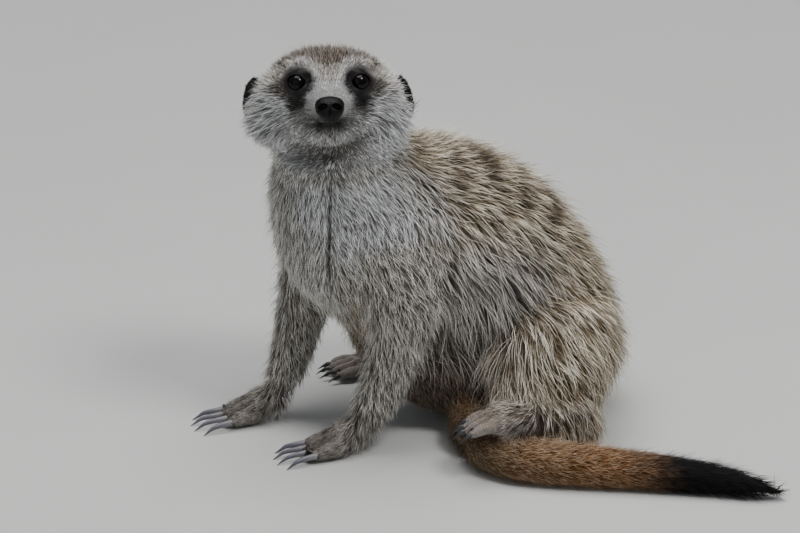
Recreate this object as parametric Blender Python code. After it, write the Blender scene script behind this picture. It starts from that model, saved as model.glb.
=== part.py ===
"""A meerkat sitting on its rump with both forelegs planted, as a still, life-size model.

The animal faces -Y, its left side is +X and the floor is Z = 0.  Its head is
turned to its left.  Every size below is the size out to the tips of the coat.
Lengths are written in millimetres; ``at`` turns them into metres.
"""

import math

import bmesh
import bpy
import numpy as np
from mathutils import Matrix, Vector

MM = 0.001
GAP = 0.3            # clear width of the parting cuts
LIMB_GAP = 0.55      # the same round the limbs, where thinning may narrow it
FOOT_GAP = 0.9       # and between a hind foot and what it lies on
FLOOR_SLICE = 0.6    # how much is sliced off below to make the resting flats
RING_SIDES = 20      # corners round each section before the pieces are fused
SPAN_STEPS = 4       # rings between two named sections
SIDES = (("left", 1), ("right", -1))

# Head, in its own axes: origin midway between the eyes, nose towards -Y.
HEAD_PLACE = (24.0, 113.0, 180.5)    # left, forward, up
HEAD_TURN = math.radians(74.0)       # turned to its own left
HEAD_LIFT = math.radians(20.0)       # nose raised
EYE_SPREAD = 13.7                    # from the middle to each eye's centre
EYE_RADIUS = 5.2
EYE_DEPTH = -0.8                     # centre of the globe behind the head's origin

# Trunk and neck: left, forward, up, half width, half height of each section.
TRUNK = (
    (3, -15, 18, 34, 25),
    (3, 1, 44, 44, 36),
    (3, 20, 71, 46, 41),
    (3, 43, 88, 45, 46),
    (3, 67, 96, 43, 48.5),
    (3, 88, 103, 41, 46),
    (3, 98, 119, 38, 38),
    (5, 102, 138, 34, 32),
    (8, 108, 154, 31, 29),
)
NECK_START = 5
BELLY = (
    (4, 4, 26, 34, 27),
    (4, 34, 30, 34, 31),
    (4, 59, 45, 31, 34),
    (2, 82, 70, 29, 26),
    (2, 95, 78, 29, 24),
)
TAIL = (
    (1, -8, 22, 17, 17),
    (5, 16, 13, 13.5, 13.5),
    (20, 38, 11, 12.2, 12.2),
    (43, 50, 11, 11.8, 11.8),
    (63, 52, 10.8, 11.4, 11.4),
    (80, 45, 10.6, 11.2, 11.2),
    (92, 29, 10.4, 11, 11),
    (102, 8, 10, 10.4, 10.4),
    (113, -14, 9.2, 9.5, 9.5),
    (125, -36, 8.2, 8.4, 8.4),
    (136, -53, 6.5, 6.4, 6.4),
    (141, -64, 3.5, 2.4, 2.4),
)
TAIL_CUTS = (3, 6, 8)                # sections at which the tail is parted

# Forelegs, shoulder to wrist.
FORELEGS = {
    "left": (
        (30, 84, 100, 17, 24),
        (37, 82, 76, 15, 20),
        (36, 84, 56, 12.5, 15),
        (34, 89, 38, 11, 12.5),
        (33, 96, 22, 9.5, 10.5),
        (32, 102, 10, 8.5, 9),
    ),
    "right": (
        (-20, 96, 100, 18, 26),
        (-24, 104, 76, 16, 20),
        (-21, 112, 56, 12.5, 14.5),
        (-18, 118, 38, 10.3, 11.5),
        (-17, 123, 22, 8.9, 10),
        (-16.5, 128, 10, 8, 8.5),
    ),
}
ELBOW = 2                            # the section at the elbow's lower side
WRIST = 4
FOREPAW = (                          # from the wrist, in the paw's own axes
    (0, -4, 12, 8.5, 9),
    (0, 8, 8.2, 9.5, 8.8),
    (0, 17, 6, 10.5, 6.9),
    (0, 23, 4.8, 9.5, 5.2),
)
FORE_TOE = (14.0, 27.0, 3.4, 2.7)    # start, end, radius at start and end
HIND_TOE = (0.0, 13.0, 3.6, 2.9)
TOE_SPREAD = 5.0                     # between the middles of neighbouring toes
FORE_CLAW = (17.0, 1.7, 4.6)         # length, radius at the root, drop
HIND_CLAW = (8.5, 1.4, 2.6)
TOES = 4

# Hind legs: thigh from hip to knee, shank from knee to ankle.
THIGHS = {
    "left": (
        (28, -3, 40, 26, 32),
        (40, 8, 42, 28, 34),
        (54, 22, 42, 26, 31),
        (62, 36, 38, 19, 20),
    ),
    "right": (
        (-22, -8, 40, 26, 32),
        (-32, 10, 44, 26, 34),
        (-42, 32, 46, 22, 27),
        (-49, 48, 46, 17, 18),
    ),
}
SHANKS = {
    "left": (
        (60, 36, 36, 18, 18),
        (62, 24, 24, 19, 18),
        (60, 12, 17, 20, 18),
        (50, 6, 15, 16, 15),
    ),
    "right": (
        (-49, 52, 44, 16, 16),
        (-52, 40, 28, 16, 16),
        (-51, 24, 15, 16, 16),
        (-46, 8, 13, 14, 14),
    ),
}
# Hind feet, heel to the toes' roots, and which way the toes point from there.
HIND_FEET = {
    "left": (
        (70, 6, 30, 7, 8),
        (76, 24, 31, 8, 7.5),
        (79, 42, 30.5, 9, 7.5),
        (78, 54, 29, 9.5, 6.5),
    ),
    "right": (
        (-52, 22, 8, 8, 8),
        (-53, 44, 7.2, 8, 7.6),
        (-54, 64, 6.6, 8.8, 7),
        (-54, 77, 5.6, 9.3, 6),
    ),
}
HIND_AIM = {"left": (math.radians(12.0), math.radians(-12.0)), "right": (0.0, 0.0)}

# A claw: root sunk into the toe, tapering and curving down
CLAW_SHARES = (0.0, 0.33, 0.67, 1.0)
CLAW_SUNK = 2.5
CLAW_TAPER = 0.75                    # share of the radius lost by the tip
CLAW_ARCH = 0.3                      # rise before the drop, as a share of the drop
CLAW_FLATNESS = 0.8                  # width as a share of height
CLAW_FAN = math.radians(5.0)         # angle between neighbouring claws
FORE_CLAW_HEIGHT = 5.0               # roots above the floor
HIND_CLAW_DROP = -1.0                # roots below the end of the foot

# The head from the nape to the muzzle, in its own axes, and the lower jaw.
SKULL = (
    (0, -44, -8, 20, 18),
    (0, -36, -4, 27, 21),
    (0, -23, -2.5, 31, 20),
    (0, -12, -3, 30.5, 18.8),
    (0, -4, -4.5, 25, 16.5),
    (0, 2, -6.2, 17.5, 14),
    (0, 9, -9, 12.5, 11.2),
    (0, 18, -11.3, 9.8, 8.8),
    (0, 25, -12.4, 7.6, 7),
)
JAW = (
    (0, -22, -20, 28, 12),
    (0, -8, -21, 20, 9),
    (0, 4, -21.5, 13.5, 7),
    (0, 13, -21, 9.5, 5.5),
    (0, 19, -20, 6, 3.8),
)
# Ellipsoids: centre, then half width, half length and half height.
NOSE = ((0, 26.5, -11.6), (6.5, 3.8, 5.2))
CHEEK = ((24.5, -18, -16), (14.5, 18, 14))
FACE_SIDE = ((18, -14, -8), (17, 20, 17))
JOWL = ((13, -3, -15.5), (9, 13, 8.5))
BROW = ((13.5, -3.5, 6.2), (9, 7, 5.4))
EYE_PIT = ((13.2, 5.0, 0.3), (6.6, 6.4, 6.0))
NAPE = ((5, 84, 130), (30, 22, 24))  # this one in the animal's axes

# Ears: share of the ear's half height and half width there, from bottom to top.
EAR = ((-1.0, 1.5), (-0.75, 5.5), (-0.35, 8.5), (0.1, 9.0), (0.55, 7.0), (0.9, 3.0))
EAR_PLACE = (34.5, -30.0, -8.0)      # its middle, in the head's axes
EAR_HEIGHT = 12.5                    # half height
EAR_THICKNESS = 1.3                  # half thickness
EAR_CURL = 2.0                       # how far its ends bend in
EAR_TURN = 0.6                       # how far its hind edge stands off

# Parting planes of the trunk: a point on each and its normal (left, forward, up).
HEAD_CUT = ((5, 103, 141), (0.0, 0.1, 1.0))
TRUNK_CUTS = (
    ("rump", (0, 20, 66), (0.0, 0.85, 0.5)),
    ("belly", (0, 64, 90), (0.0, 1.0, 0.15)),
    ("chest", (0, 90, 124), (0.0, 0.3, 1.0)),
)

# Grain and triangle budget of each fused shape
BODY_VOXEL = 2.5
HEAD_VOXEL = 1.8
FOOT_VOXEL = 1.3
BODY_ROUNDS = 9                      # smoothing rounds after fusing
HEAD_ROUNDS = 7
FOOT_ROUNDS = 3
BODY_TRIANGLES = 2500
HEAD_TRIANGLES = 1400
FOREPAW_TRIANGLES = 600
HINDFOOT_TRIANGLES = 320
TOTAL_TRIANGLES = 9500
SMALL_PIECE = 300                    # triangles, below which a piece isn't thinned again
REGION_MARGIN = 2.2                  # how far a parting surface stands outside its limb
REGION_DETAIL = 0.28                 # share of a tube's triangles kept in its parting surface
EAR_DETAIL = 0.35                    # the same share for an ear
CLAW_DETAIL = 0.12                   # and for a claw
SHARP_ANGLE = math.radians(50)       # edges sharper than this are shaded sharp

# Plain colours
COAT_COLOURS = {
    "head": (0.62, 0.58, 0.52),
    "neck": (0.60, 0.57, 0.52),
    "chest": (0.48, 0.41, 0.32),
    "belly": (0.46, 0.37, 0.27),
    "rump": (0.45, 0.34, 0.23),
    "tail": (0.48, 0.25, 0.10),
    "leg": (0.45, 0.38, 0.29),
    "foot": (0.52, 0.42, 0.33),
}
TAIL_TIP_COLOUR = (0.03, 0.025, 0.02)
DARK_SKIN = (0.03, 0.025, 0.025)
EYE_COLOUR = (0.012, 0.008, 0.006)
CLAW_COLOUR = (0.09, 0.09, 0.10)



def at(left, forward, up):
    """A point in metres from its distances left, forward and up in millimetres."""
    return Vector((left, -forward, up)) * MM


def clear_scene():
    """Remove whatever the file opened with."""
    for item in list(bpy.data.objects):
        bpy.data.objects.remove(item, do_unlink=True)


def material(name, colour, roughness):
    """A plain Principled material."""
    made = bpy.data.materials.new(name)
    made.use_nodes = True
    shader = made.node_tree.nodes["Principled BSDF"]
    shader.inputs["Base Color"].default_value = (*colour, 1.0)
    shader.inputs["Roughness"].default_value = roughness
    shader.inputs["Metallic"].default_value = 0.0
    made.diffuse_color = (*colour, 1.0)
    return made


def new_object(name, mesh):
    """Link a mesh to the scene under a node name."""
    made = bpy.data.objects.new(name, mesh)
    bpy.context.scene.collection.objects.link(made)
    return made


def smooth_path(rows):
    """Rows of numbers run through by a Catmull-Rom curve, SPAN_STEPS rows to a span."""
    rows = np.array(rows, dtype=float)
    padded = np.vstack((2 * rows[0] - rows[1], rows, 2 * rows[-1] - rows[-2]))
    result = []
    for index in range(1, len(padded) - 2):
        before, start, end, after = padded[index - 1:index + 3]
        for step in range(SPAN_STEPS):
            t = step / SPAN_STEPS
            result.append(0.5 * (
                2 * start + (end - before) * t
                + (2 * before - 5 * start + 4 * end - after) * t ** 2
                + (3 * start - before - 3 * end + after) * t ** 3
            ))
    result.append(rows[-1])
    return np.array(result)


def tube(sections, side=(1.0, 0.0, 0.0)):
    """A closed tube of elliptical sections with domed ends.

    Each section is (left, forward, up, half width, half height); the width
    is measured along the side vector.
    """
    rows = smooth_path(sections)
    centres = [at(*row[:3]) for row in rows]
    bm = bmesh.new()
    rings = []
    for index, row in enumerate(rows):
        ahead = centres[min(index + 1, len(rows) - 1)]
        behind = centres[max(index - 1, 0)]
        along = (ahead - behind).normalized()
        across = Vector(side) - along * along.dot(Vector(side))
        across.normalize()
        upward = along.cross(across)
        ring = []
        for corner in range(RING_SIDES):
            angle = math.tau * corner / RING_SIDES
            offset = across * math.cos(angle) * row[3] + upward * math.sin(angle) * row[4]
            ring.append(bm.verts.new(centres[index] + offset * MM))
        rings.append(ring)
    for one, other in zip(rings, rings[1:]):
        for corner in range(RING_SIDES):
            following = (corner + 1) % RING_SIDES
            bm.faces.new((one[corner], one[following], other[following], other[corner]))
    for ring, reach, inner in ((rings[0], 0, 1), (rings[-1], -1, -2)):
        outward = (centres[reach] - centres[inner]).normalized()
        dome = 0.5 * min(rows[reach][3], rows[reach][4]) * MM
        tip = bm.verts.new(centres[reach] + outward * dome)
        for corner in range(RING_SIDES):
            bm.faces.new((ring[corner], ring[(corner + 1) % RING_SIDES], tip))
    bmesh.ops.recalc_face_normals(bm, faces=bm.faces)
    mesh = bpy.data.meshes.new("tube")
    bm.to_mesh(mesh)
    bm.free()
    return mesh


def ball(centre, radii):
    """An ellipsoid mesh; centre as in ``at``, radii (width, length, height)."""
    bm = bmesh.new()
    bmesh.ops.create_uvsphere(bm, u_segments=14, v_segments=8, radius=1.0)
    shape = Matrix.Diagonal((*(radius * MM for radius in radii), 1.0))
    bm.transform(Matrix.Translation(at(*centre)) @ shape)
    mesh = bpy.data.meshes.new("ball")
    bm.to_mesh(mesh)
    bm.free()
    return mesh


def join_meshes(meshes):
    """All the meshes in one, still overlapping."""
    bm = bmesh.new()
    for mesh in meshes:
        bm.from_mesh(mesh)
    joined = bpy.data.meshes.new("joined")
    bm.to_mesh(joined)
    bm.free()
    return joined


def evaluated(item):
    """The object's mesh with its modifiers, and the object removed."""
    graph = bpy.context.evaluated_depsgraph_get()
    mesh = bpy.data.meshes.new_from_object(item.evaluated_get(graph), depsgraph=graph)
    bpy.data.objects.remove(item, do_unlink=True)
    return mesh


def triangle_count(mesh):
    """How many triangles the mesh's faces make."""
    return sum(len(face.vertices) - 2 for face in mesh.polygons)


def thinned(mesh, ratio):
    """The mesh with fewer triangles."""
    item = new_object("thinning", mesh)
    thin = item.modifiers.new("thin", "DECIMATE")
    thin.ratio = ratio
    thin.use_collapse_triangulate = True
    return evaluated(item)


def fuse(meshes, voxel, rounds, triangles):
    """One closed surface round the meshes, smoothed and thinned to a triangle count."""
    item = new_object("fusing", join_meshes(meshes))
    remesh = item.modifiers.new("fuse", "REMESH")
    remesh.mode = "VOXEL"
    remesh.voxel_size = voxel * MM
    relax = item.modifiers.new("relax", "SMOOTH")
    relax.factor = 0.5
    relax.iterations = rounds
    mesh = evaluated(item)
    return thinned(mesh, min(1.0, triangles / triangle_count(mesh)))


def moved(mesh, matrix):
    """A copy of the mesh put through a matrix."""
    copy = mesh.copy()
    copy.transform(matrix)
    return copy


def swollen(mesh, distance):
    """A copy of the mesh with each corner pushed out along its normal."""
    bm = bmesh.new()
    bm.from_mesh(mesh)
    bm.normal_update()
    for vertex in bm.verts:
        vertex.co += vertex.normal * distance * MM
    copy = bpy.data.meshes.new("swollen")
    bm.to_mesh(copy)
    bm.free()
    return copy


def combined(mesh, other, operation, solver="EXACT"):
    """The Boolean of two meshes."""
    item = new_object("base", mesh)
    cutter = new_object("cutter", other)
    cut = item.modifiers.new("cut", "BOOLEAN")
    cut.operation = operation
    cut.solver = solver
    cut.object = cutter
    result = evaluated(item)
    bpy.data.objects.remove(cutter, do_unlink=True)
    return result


def taken(mesh, bounds):
    """The part of the mesh within the bounds, and what is left outside them, a gap apart.

    A region that bends sharply overlaps itself, which only MANIFOLD accepts.
    """
    inside = combined(mesh, bounds, "INTERSECT", "MANIFOLD")
    outside = combined(mesh, swollen(bounds, LIMB_GAP), "DIFFERENCE", "MANIFOLD")
    return inside, outside


def half(mesh, point, normal):
    """The part of a closed mesh that the normal points to, closed with a flat face."""
    bm = bmesh.new()
    bm.from_mesh(mesh)
    geometry = bm.verts[:] + bm.edges[:] + bm.faces[:]
    bmesh.ops.bisect_plane(
        bm, geom=geometry, plane_co=point, plane_no=normal, clear_inner=True, dist=1e-6
    )
    rim = [edge for edge in bm.edges if edge.is_boundary]
    bmesh.ops.holes_fill(bm, edges=rim, sides=0)
    bmesh.ops.recalc_face_normals(bm, faces=bm.faces)
    cut = bpy.data.meshes.new("half")
    bm.to_mesh(cut)
    bm.free()
    return cut


def parted(mesh, point, normal):
    """Both sides of a thin plane cut: the one behind the normal, then the one ahead."""
    normal = Vector(normal).normalized()
    margin = normal * (GAP / 2 * MM)
    ahead = half(mesh, point + margin, normal)
    behind = half(mesh, point - margin, -normal)
    return behind, ahead


def largest(mesh):
    """The mesh with only its biggest connected body."""
    bm = bmesh.new()
    bm.from_mesh(mesh)
    unseen = set(bm.verts)
    bodies = []
    while unseen:
        edge_of_search = [unseen.pop()]
        body = set(edge_of_search)
        while edge_of_search:
            vertex = edge_of_search.pop()
            for edge in vertex.link_edges:
                other = edge.other_vert(vertex)
                if other in unseen:
                    unseen.remove(other)
                    body.add(other)
                    edge_of_search.append(other)
        bodies.append(body)
    bodies.sort(key=len)
    for body in bodies[:-1]:
        bmesh.ops.delete(bm, geom=list(body), context="VERTS")
    kept = bpy.data.meshes.new("kept")
    bm.to_mesh(kept)
    bm.free()
    return kept


def head_matrix():
    """Where the head's own axes stand in the animal's."""
    turn = Matrix.Rotation(HEAD_TURN, 4, "Z")
    lift = Matrix.Rotation(-HEAD_LIFT, 4, "X")
    return Matrix.Translation(at(*HEAD_PLACE)) @ turn @ lift


def mirrored(centre, side):
    """A centre on the left (1) or the right (-1)."""
    return (centre[0] * side, *centre[1:])


def head_shapes():
    """The overlapping shapes of the head, in the head's axes."""
    shapes = [tube(SKULL), tube(JAW)]
    for side in (-1, 1):
        for centre, radii in (CHEEK, FACE_SIDE, JOWL, BROW):
            shapes.append(ball(mirrored(centre, side), radii))
    return shapes


def ear(side):
    """A small crescent with its hind edge standing off the head."""
    rim = []
    for share, width in EAR:
        aside, ahead, middle = EAR_PLACE
        across = side * (aside - EAR_CURL * share ** 2)
        rim.append((across, ahead, middle + EAR_HEIGHT * share, EAR_THICKNESS, width))
    return thinned(tube(rim, side=(1.0, -EAR_TURN * side, 0.0)), EAR_DETAIL)


def claw(length, radius, drop):
    """A claw in its own axes: root near the origin, running along -Y and curving down."""
    sections = []
    for share in CLAW_SHARES:
        size = radius * (1.0 - CLAW_TAPER * share ** 1.5)
        arch = CLAW_ARCH * math.sin(math.pi * share) - share
        ahead = length * share - CLAW_SUNK
        sections.append((0, ahead, drop * arch, size * CLAW_FLATNESS, size))
    return thinned(tube(sections), CLAW_DETAIL)


def digits(toe, claw_size, height):
    """The toes of one foot and their claws, in the foot's own axes."""
    start, end, root, tip = toe
    toes = []
    claws = []
    for number in range(TOES):
        place = number - (TOES - 1) / 2
        reach = end - 1.3 * place ** 2
        aside = TOE_SPREAD * place
        toes.append(tube((
            (aside * 0.85, start, height + 1, root, root),
            (aside, (start + reach) / 2, height + 1, root, root),
            (aside * 1.06, reach, height - 0.6, tip, tip),
        )))
        fan = Matrix.Rotation(CLAW_FAN * place, 4, "Z")
        root_place = Matrix.Translation(at(aside * 1.06, reach, height))
        claws.append(moved(claw(*claw_size), root_place @ fan))
    return toes, claws


def forefoot(side):
    """A forepaw fused with the end of its leg, and its claws."""
    heel = FORELEGS[side][-1]
    place = Matrix.Translation(at(heel[0], heel[1], 0))
    toes, claws = digits(FORE_TOE, FORE_CLAW, FORE_CLAW_HEIGHT)
    shapes = [moved(shape, place) for shape in [tube(FOREPAW)] + toes]
    paw = fuse(shapes + [tube(FORELEGS[side])], FOOT_VOXEL, FOOT_ROUNDS, FOREPAW_TRIANGLES)
    return paw, [moved(shape, place) for shape in claws]


def hindfoot(side):
    """A hind foot and its claws."""
    toe_root = HIND_FEET[side][-1]
    turn, lift = HIND_AIM[side]
    aim = Matrix.Rotation(-turn, 4, "Z") @ Matrix.Rotation(-lift, 4, "X")
    place = Matrix.Translation(at(*toe_root[:3])) @ aim
    toes, claws = digits(HIND_TOE, HIND_CLAW, HIND_CLAW_DROP)
    shapes = [tube(HIND_FEET[side])] + [moved(shape, place) for shape in toes]
    foot = fuse(shapes, FOOT_VOXEL, FOOT_ROUNDS, HINDFOOT_TRIANGLES)
    return foot, [moved(shape, place) for shape in claws]


def section_point(sections, index):
    """A named section's centre."""
    return at(*sections[index][:3])


def direction(sections, index):
    """Which way a run of sections heads at one of them."""
    return (section_point(sections, index) - section_point(sections, index - 1)).normalized()


def region(sections):
    """A plain, slightly fatter solid round a limb, to take the limb out of the body with."""
    return swollen(thinned(tube(sections), REGION_DETAIL), REGION_MARGIN)


def on_floor(mesh):
    """The mesh with its lowest slice taken off flat, and lowered by as much."""
    level = Vector((0, 0, FLOOR_SLICE * MM))
    return moved(half(mesh, level, Vector((0, 0, 1))), Matrix.Translation(-level))


def build_head():
    """The head, nose, ears and eyes."""
    matrix = head_matrix()
    shapes = [moved(shape, matrix) for shape in head_shapes()]
    shapes += [tube(TRUNK[NECK_START:]), ball(*NAPE)]
    skull = fuse(shapes, HEAD_VOXEL, HEAD_ROUNDS, HEAD_TRIANGLES)
    nose = moved(ball(*NOSE), matrix)
    skull = combined(skull, swollen(nose, GAP), "DIFFERENCE")
    pieces = {"nose": nose}
    for side, sign in SIDES:
        eye = moved(ball((sign * EYE_SPREAD, -EYE_DEPTH, 0), (EYE_RADIUS,) * 3), matrix)
        pit = moved(ball(mirrored(EYE_PIT[0], sign), EYE_PIT[1]), matrix)
        skull = combined(skull, pit, "DIFFERENCE")
        skull = combined(skull, swollen(eye, GAP), "DIFFERENCE")
        pieces[f"eye_{side}"] = eye
        pieces[f"ear_{side}"] = moved(ear(sign), matrix)
    for side, sign in SIDES:
        pinna = combined(pieces[f"ear_{side}"], swollen(skull, GAP), "DIFFERENCE")
        pieces[f"ear_{side}"] = largest(pinna)
    pieces["head"] = parted(skull, at(*HEAD_CUT[0]), at(*HEAD_CUT[1]))[1]
    return pieces


def build_foreleg(whole, side):
    """One foreleg taken from the body, with its paw and claws; and the body left."""
    sections = FORELEGS[side]
    arm, whole = taken(whole, region(sections))
    wrist = section_point(sections, WRIST), direction(sections, WRIST)
    arm = parted(largest(arm), *wrist)[0]
    paw, claws = forefoot(side)
    paw = parted(paw, *wrist)[1]
    upper, lower = parted(arm, section_point(sections, ELBOW), direction(sections, ELBOW))
    pieces = {f"upper_arm_{side}": upper, f"forearm_{side}": lower}
    for number, claw_mesh in enumerate(claws, 1):
        paw = combined(paw, swollen(claw_mesh, GAP), "DIFFERENCE")
        pieces[f"fore_claw_{side}_{number}"] = claw_mesh
    pieces[f"forepaw_{side}"] = largest(paw)
    return pieces, whole


def build_hindleg(whole, side):
    """One hind leg taken from the body, with its foot and claws; and the body left."""
    foot, claws = hindfoot(side)
    foot = combined(foot, swollen(whole, FOOT_GAP), "DIFFERENCE", "MANIFOLD")
    shank, whole = taken(whole, region(SHANKS[side]))
    thigh, whole = taken(whole, region(THIGHS[side]))
    pieces = {f"shank_{side}": largest(shank), f"thigh_{side}": largest(thigh)}
    for number, claw_mesh in enumerate(claws, 1):
        foot = combined(foot, swollen(claw_mesh, GAP), "DIFFERENCE")
        pieces[f"hind_claw_{side}_{number}"] = claw_mesh
    pieces[f"hind_foot_{side}"] = largest(foot)
    return pieces, whole


def build_tail(whole):
    """The tail in its lengths, and the body left."""
    rest, whole = taken(whole, region(TAIL))
    rest = largest(rest)
    pieces = {}
    for number, index in enumerate(TAIL_CUTS, 1):
        cut = section_point(TAIL, index), direction(TAIL, index)
        pieces[f"tail_{number}"], rest = parted(rest, *cut)
    pieces[f"tail_{len(TAIL_CUTS) + 1}"] = rest
    return pieces, whole


def build_trunk(whole):
    """Rump, belly, chest and neck, parted by plane cuts from the back forwards."""
    pieces = {}
    rest = largest(whole)
    for name, point, normal in TRUNK_CUTS:
        pieces[name], rest = parted(rest, at(*point), at(*normal))
    pieces["neck"] = parted(rest, at(*HEAD_CUT[0]), at(*HEAD_CUT[1]))[0]
    return pieces


def colour_of(name):
    """A node's plain colour, roughness included."""
    if name.startswith("eye"):
        return EYE_COLOUR, 0.08
    if "claw" in name:
        return CLAW_COLOUR, 0.4
    if name == "nose" or name.startswith("ear"):
        return DARK_SKIN, 0.5
    if name == f"tail_{len(TAIL_CUTS) + 1}":
        return TAIL_TIP_COLOUR, 0.9
    if name in COAT_COLOURS:
        return COAT_COLOURS[name], 0.9
    if name.startswith("tail"):
        return COAT_COLOURS["tail"], 0.9
    if "paw" in name or "foot" in name:
        return COAT_COLOURS["foot"], 0.9
    return COAT_COLOURS["leg"], 0.9


def within_budget(pieces):
    """The pieces, the larger ones thinned so that all together keep to the budget."""
    counts = {name: triangle_count(mesh) for name, mesh in pieces.items()}
    small = sum(count for count in counts.values() if count <= SMALL_PIECE)
    ratio = (TOTAL_TRIANGLES - small) / (sum(counts.values()) - small)
    for name, count in counts.items():
        if count > SMALL_PIECE:
            pieces[name] = thinned(pieces[name], ratio)
    return pieces


def centred(pieces):
    """Move every mesh so that the animal's box stands centred on the origin."""
    corners = [vertex.co for mesh in pieces.values() for vertex in mesh.vertices]
    middle = Vector([
        (max(corner[axis] for corner in corners) + min(corner[axis] for corner in corners)) / 2
        for axis in range(3)
    ])
    middle.z = 0.0
    for mesh in pieces.values():
        mesh.transform(Matrix.Translation(-middle))


def build():
    """Model the animal and part it into its nodes."""
    clear_scene()
    body = [tube(TRUNK), tube(BELLY), tube(TAIL), ball(*NAPE)]
    for side, _ in SIDES:
        body += [tube(FORELEGS[side]), tube(THIGHS[side]), tube(SHANKS[side])]
    whole = fuse(body, BODY_VOXEL, BODY_ROUNDS, BODY_TRIANGLES)
    pieces = build_head()
    tail_pieces, whole = build_tail(whole)
    pieces.update(tail_pieces)
    for side, _ in SIDES:
        for build_leg in (build_foreleg, build_hindleg):
            leg_pieces, whole = build_leg(whole, side)
            pieces.update(leg_pieces)
    pieces.update(build_trunk(whole))
    pieces = within_budget(pieces)
    pieces = {name: on_floor(mesh) for name, mesh in pieces.items()}
    centred(pieces)
    for name, mesh in sorted(pieces.items()):
        mesh.shade_smooth()
        mesh.set_sharp_from_angle(angle=SHARP_ANGLE)
        item = new_object(name, mesh)
        item.data.materials.clear()
        item.data.materials.append(material(name, *colour_of(name)))


build()
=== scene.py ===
"""The look of a sitting meerkat: skin, coat, eyes, nose, claws and whiskers.

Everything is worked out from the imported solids.  The animal faces -Y, its left
side is +X and the floor is Z = 0; its head is turned to its own left.  Sizes of
the coat and the features are in millimetres, and MM turns them into metres.
"""

from __future__ import annotations

import logging
import math
from dataclasses import dataclass, field
from enum import Enum

import bmesh
import bpy
import numpy as np
from mathutils import Matrix, Vector, noise
from mathutils.bvhtree import BVHTree
from mathutils.kdtree import KDTree

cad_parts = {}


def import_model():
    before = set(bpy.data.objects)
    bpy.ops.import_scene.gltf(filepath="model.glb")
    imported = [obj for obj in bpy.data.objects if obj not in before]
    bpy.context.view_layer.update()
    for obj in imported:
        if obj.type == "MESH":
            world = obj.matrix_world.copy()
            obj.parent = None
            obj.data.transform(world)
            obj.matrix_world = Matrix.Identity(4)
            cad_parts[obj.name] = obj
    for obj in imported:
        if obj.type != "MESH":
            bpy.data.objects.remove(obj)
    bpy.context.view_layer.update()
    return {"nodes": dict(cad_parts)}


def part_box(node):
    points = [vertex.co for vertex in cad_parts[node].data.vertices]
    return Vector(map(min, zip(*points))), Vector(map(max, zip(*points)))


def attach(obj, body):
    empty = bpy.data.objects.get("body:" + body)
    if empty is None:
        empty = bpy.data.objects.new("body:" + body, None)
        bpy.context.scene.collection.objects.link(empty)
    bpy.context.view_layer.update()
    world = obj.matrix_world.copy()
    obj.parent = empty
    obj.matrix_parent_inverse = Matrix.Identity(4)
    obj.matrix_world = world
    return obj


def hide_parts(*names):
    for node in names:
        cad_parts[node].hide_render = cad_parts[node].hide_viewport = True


MM = 0.001
SEED = 20240
SIDES = ("left", "right")
LOG = logging.getLogger("meerkat")

Colour = tuple[float, float, float]


# --------------------------------------------------------------------------
# Shader maths
# --------------------------------------------------------------------------


class Value:
    """A number socket on which arithmetic adds Math nodes."""

    def __init__(self, tree: bpy.types.NodeTree, socket: bpy.types.NodeSocket) -> None:
        """Wrap a socket.

        Args:
            tree: The node tree that the socket is in.
            socket: An output that carries a number.
        """
        self.tree = tree
        self.socket = socket

    def _math(self, operation: str, *terms: Value | float) -> Value:
        """Add one Math node.

        Args:
            operation: The node's operation.
            terms: Its inputs, in order.

        Returns:
            The node's result.
        """
        node = self.tree.nodes.new("ShaderNodeMath")
        node.operation = operation
        for slot, term in zip(node.inputs, terms):
            if isinstance(term, Value):
                self.tree.links.new(term.socket, slot)
            else:
                slot.default_value = term
        return Value(self.tree, node.outputs[0])

    def __add__(self, other: Value | float) -> Value:
        """Sum."""
        return self._math("ADD", self, other)

    __radd__ = __add__

    def __sub__(self, other: Value | float) -> Value:
        """Difference."""
        return self._math("SUBTRACT", self, other)

    def __rsub__(self, other: float) -> Value:
        """Difference, reflected."""
        return self._math("SUBTRACT", other, self)

    def __mul__(self, other: Value | float) -> Value:
        """Product."""
        return self._math("MULTIPLY", self, other)

    __rmul__ = __mul__

    def __truediv__(self, other: Value | float) -> Value:
        """Quotient."""
        return self._math("DIVIDE", self, other)

    def held(self) -> Value:
        """Keep the number between 0 and 1.

        Returns:
            The number, held.
        """
        result = self._math("ADD", self, 0.0)
        result.socket.node.use_clamp = True
        return result

    def step(self, low: float, high: float) -> Value:
        """Ramp from 0 at low to 1 at high, also where low is the greater.

        Args:
            low: Where the ramp is 0.
            high: Where the ramp is 1.

        Returns:
            The ramp, held between 0 and 1.
        """
        return ((self - low) / (high - low)).held()


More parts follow.
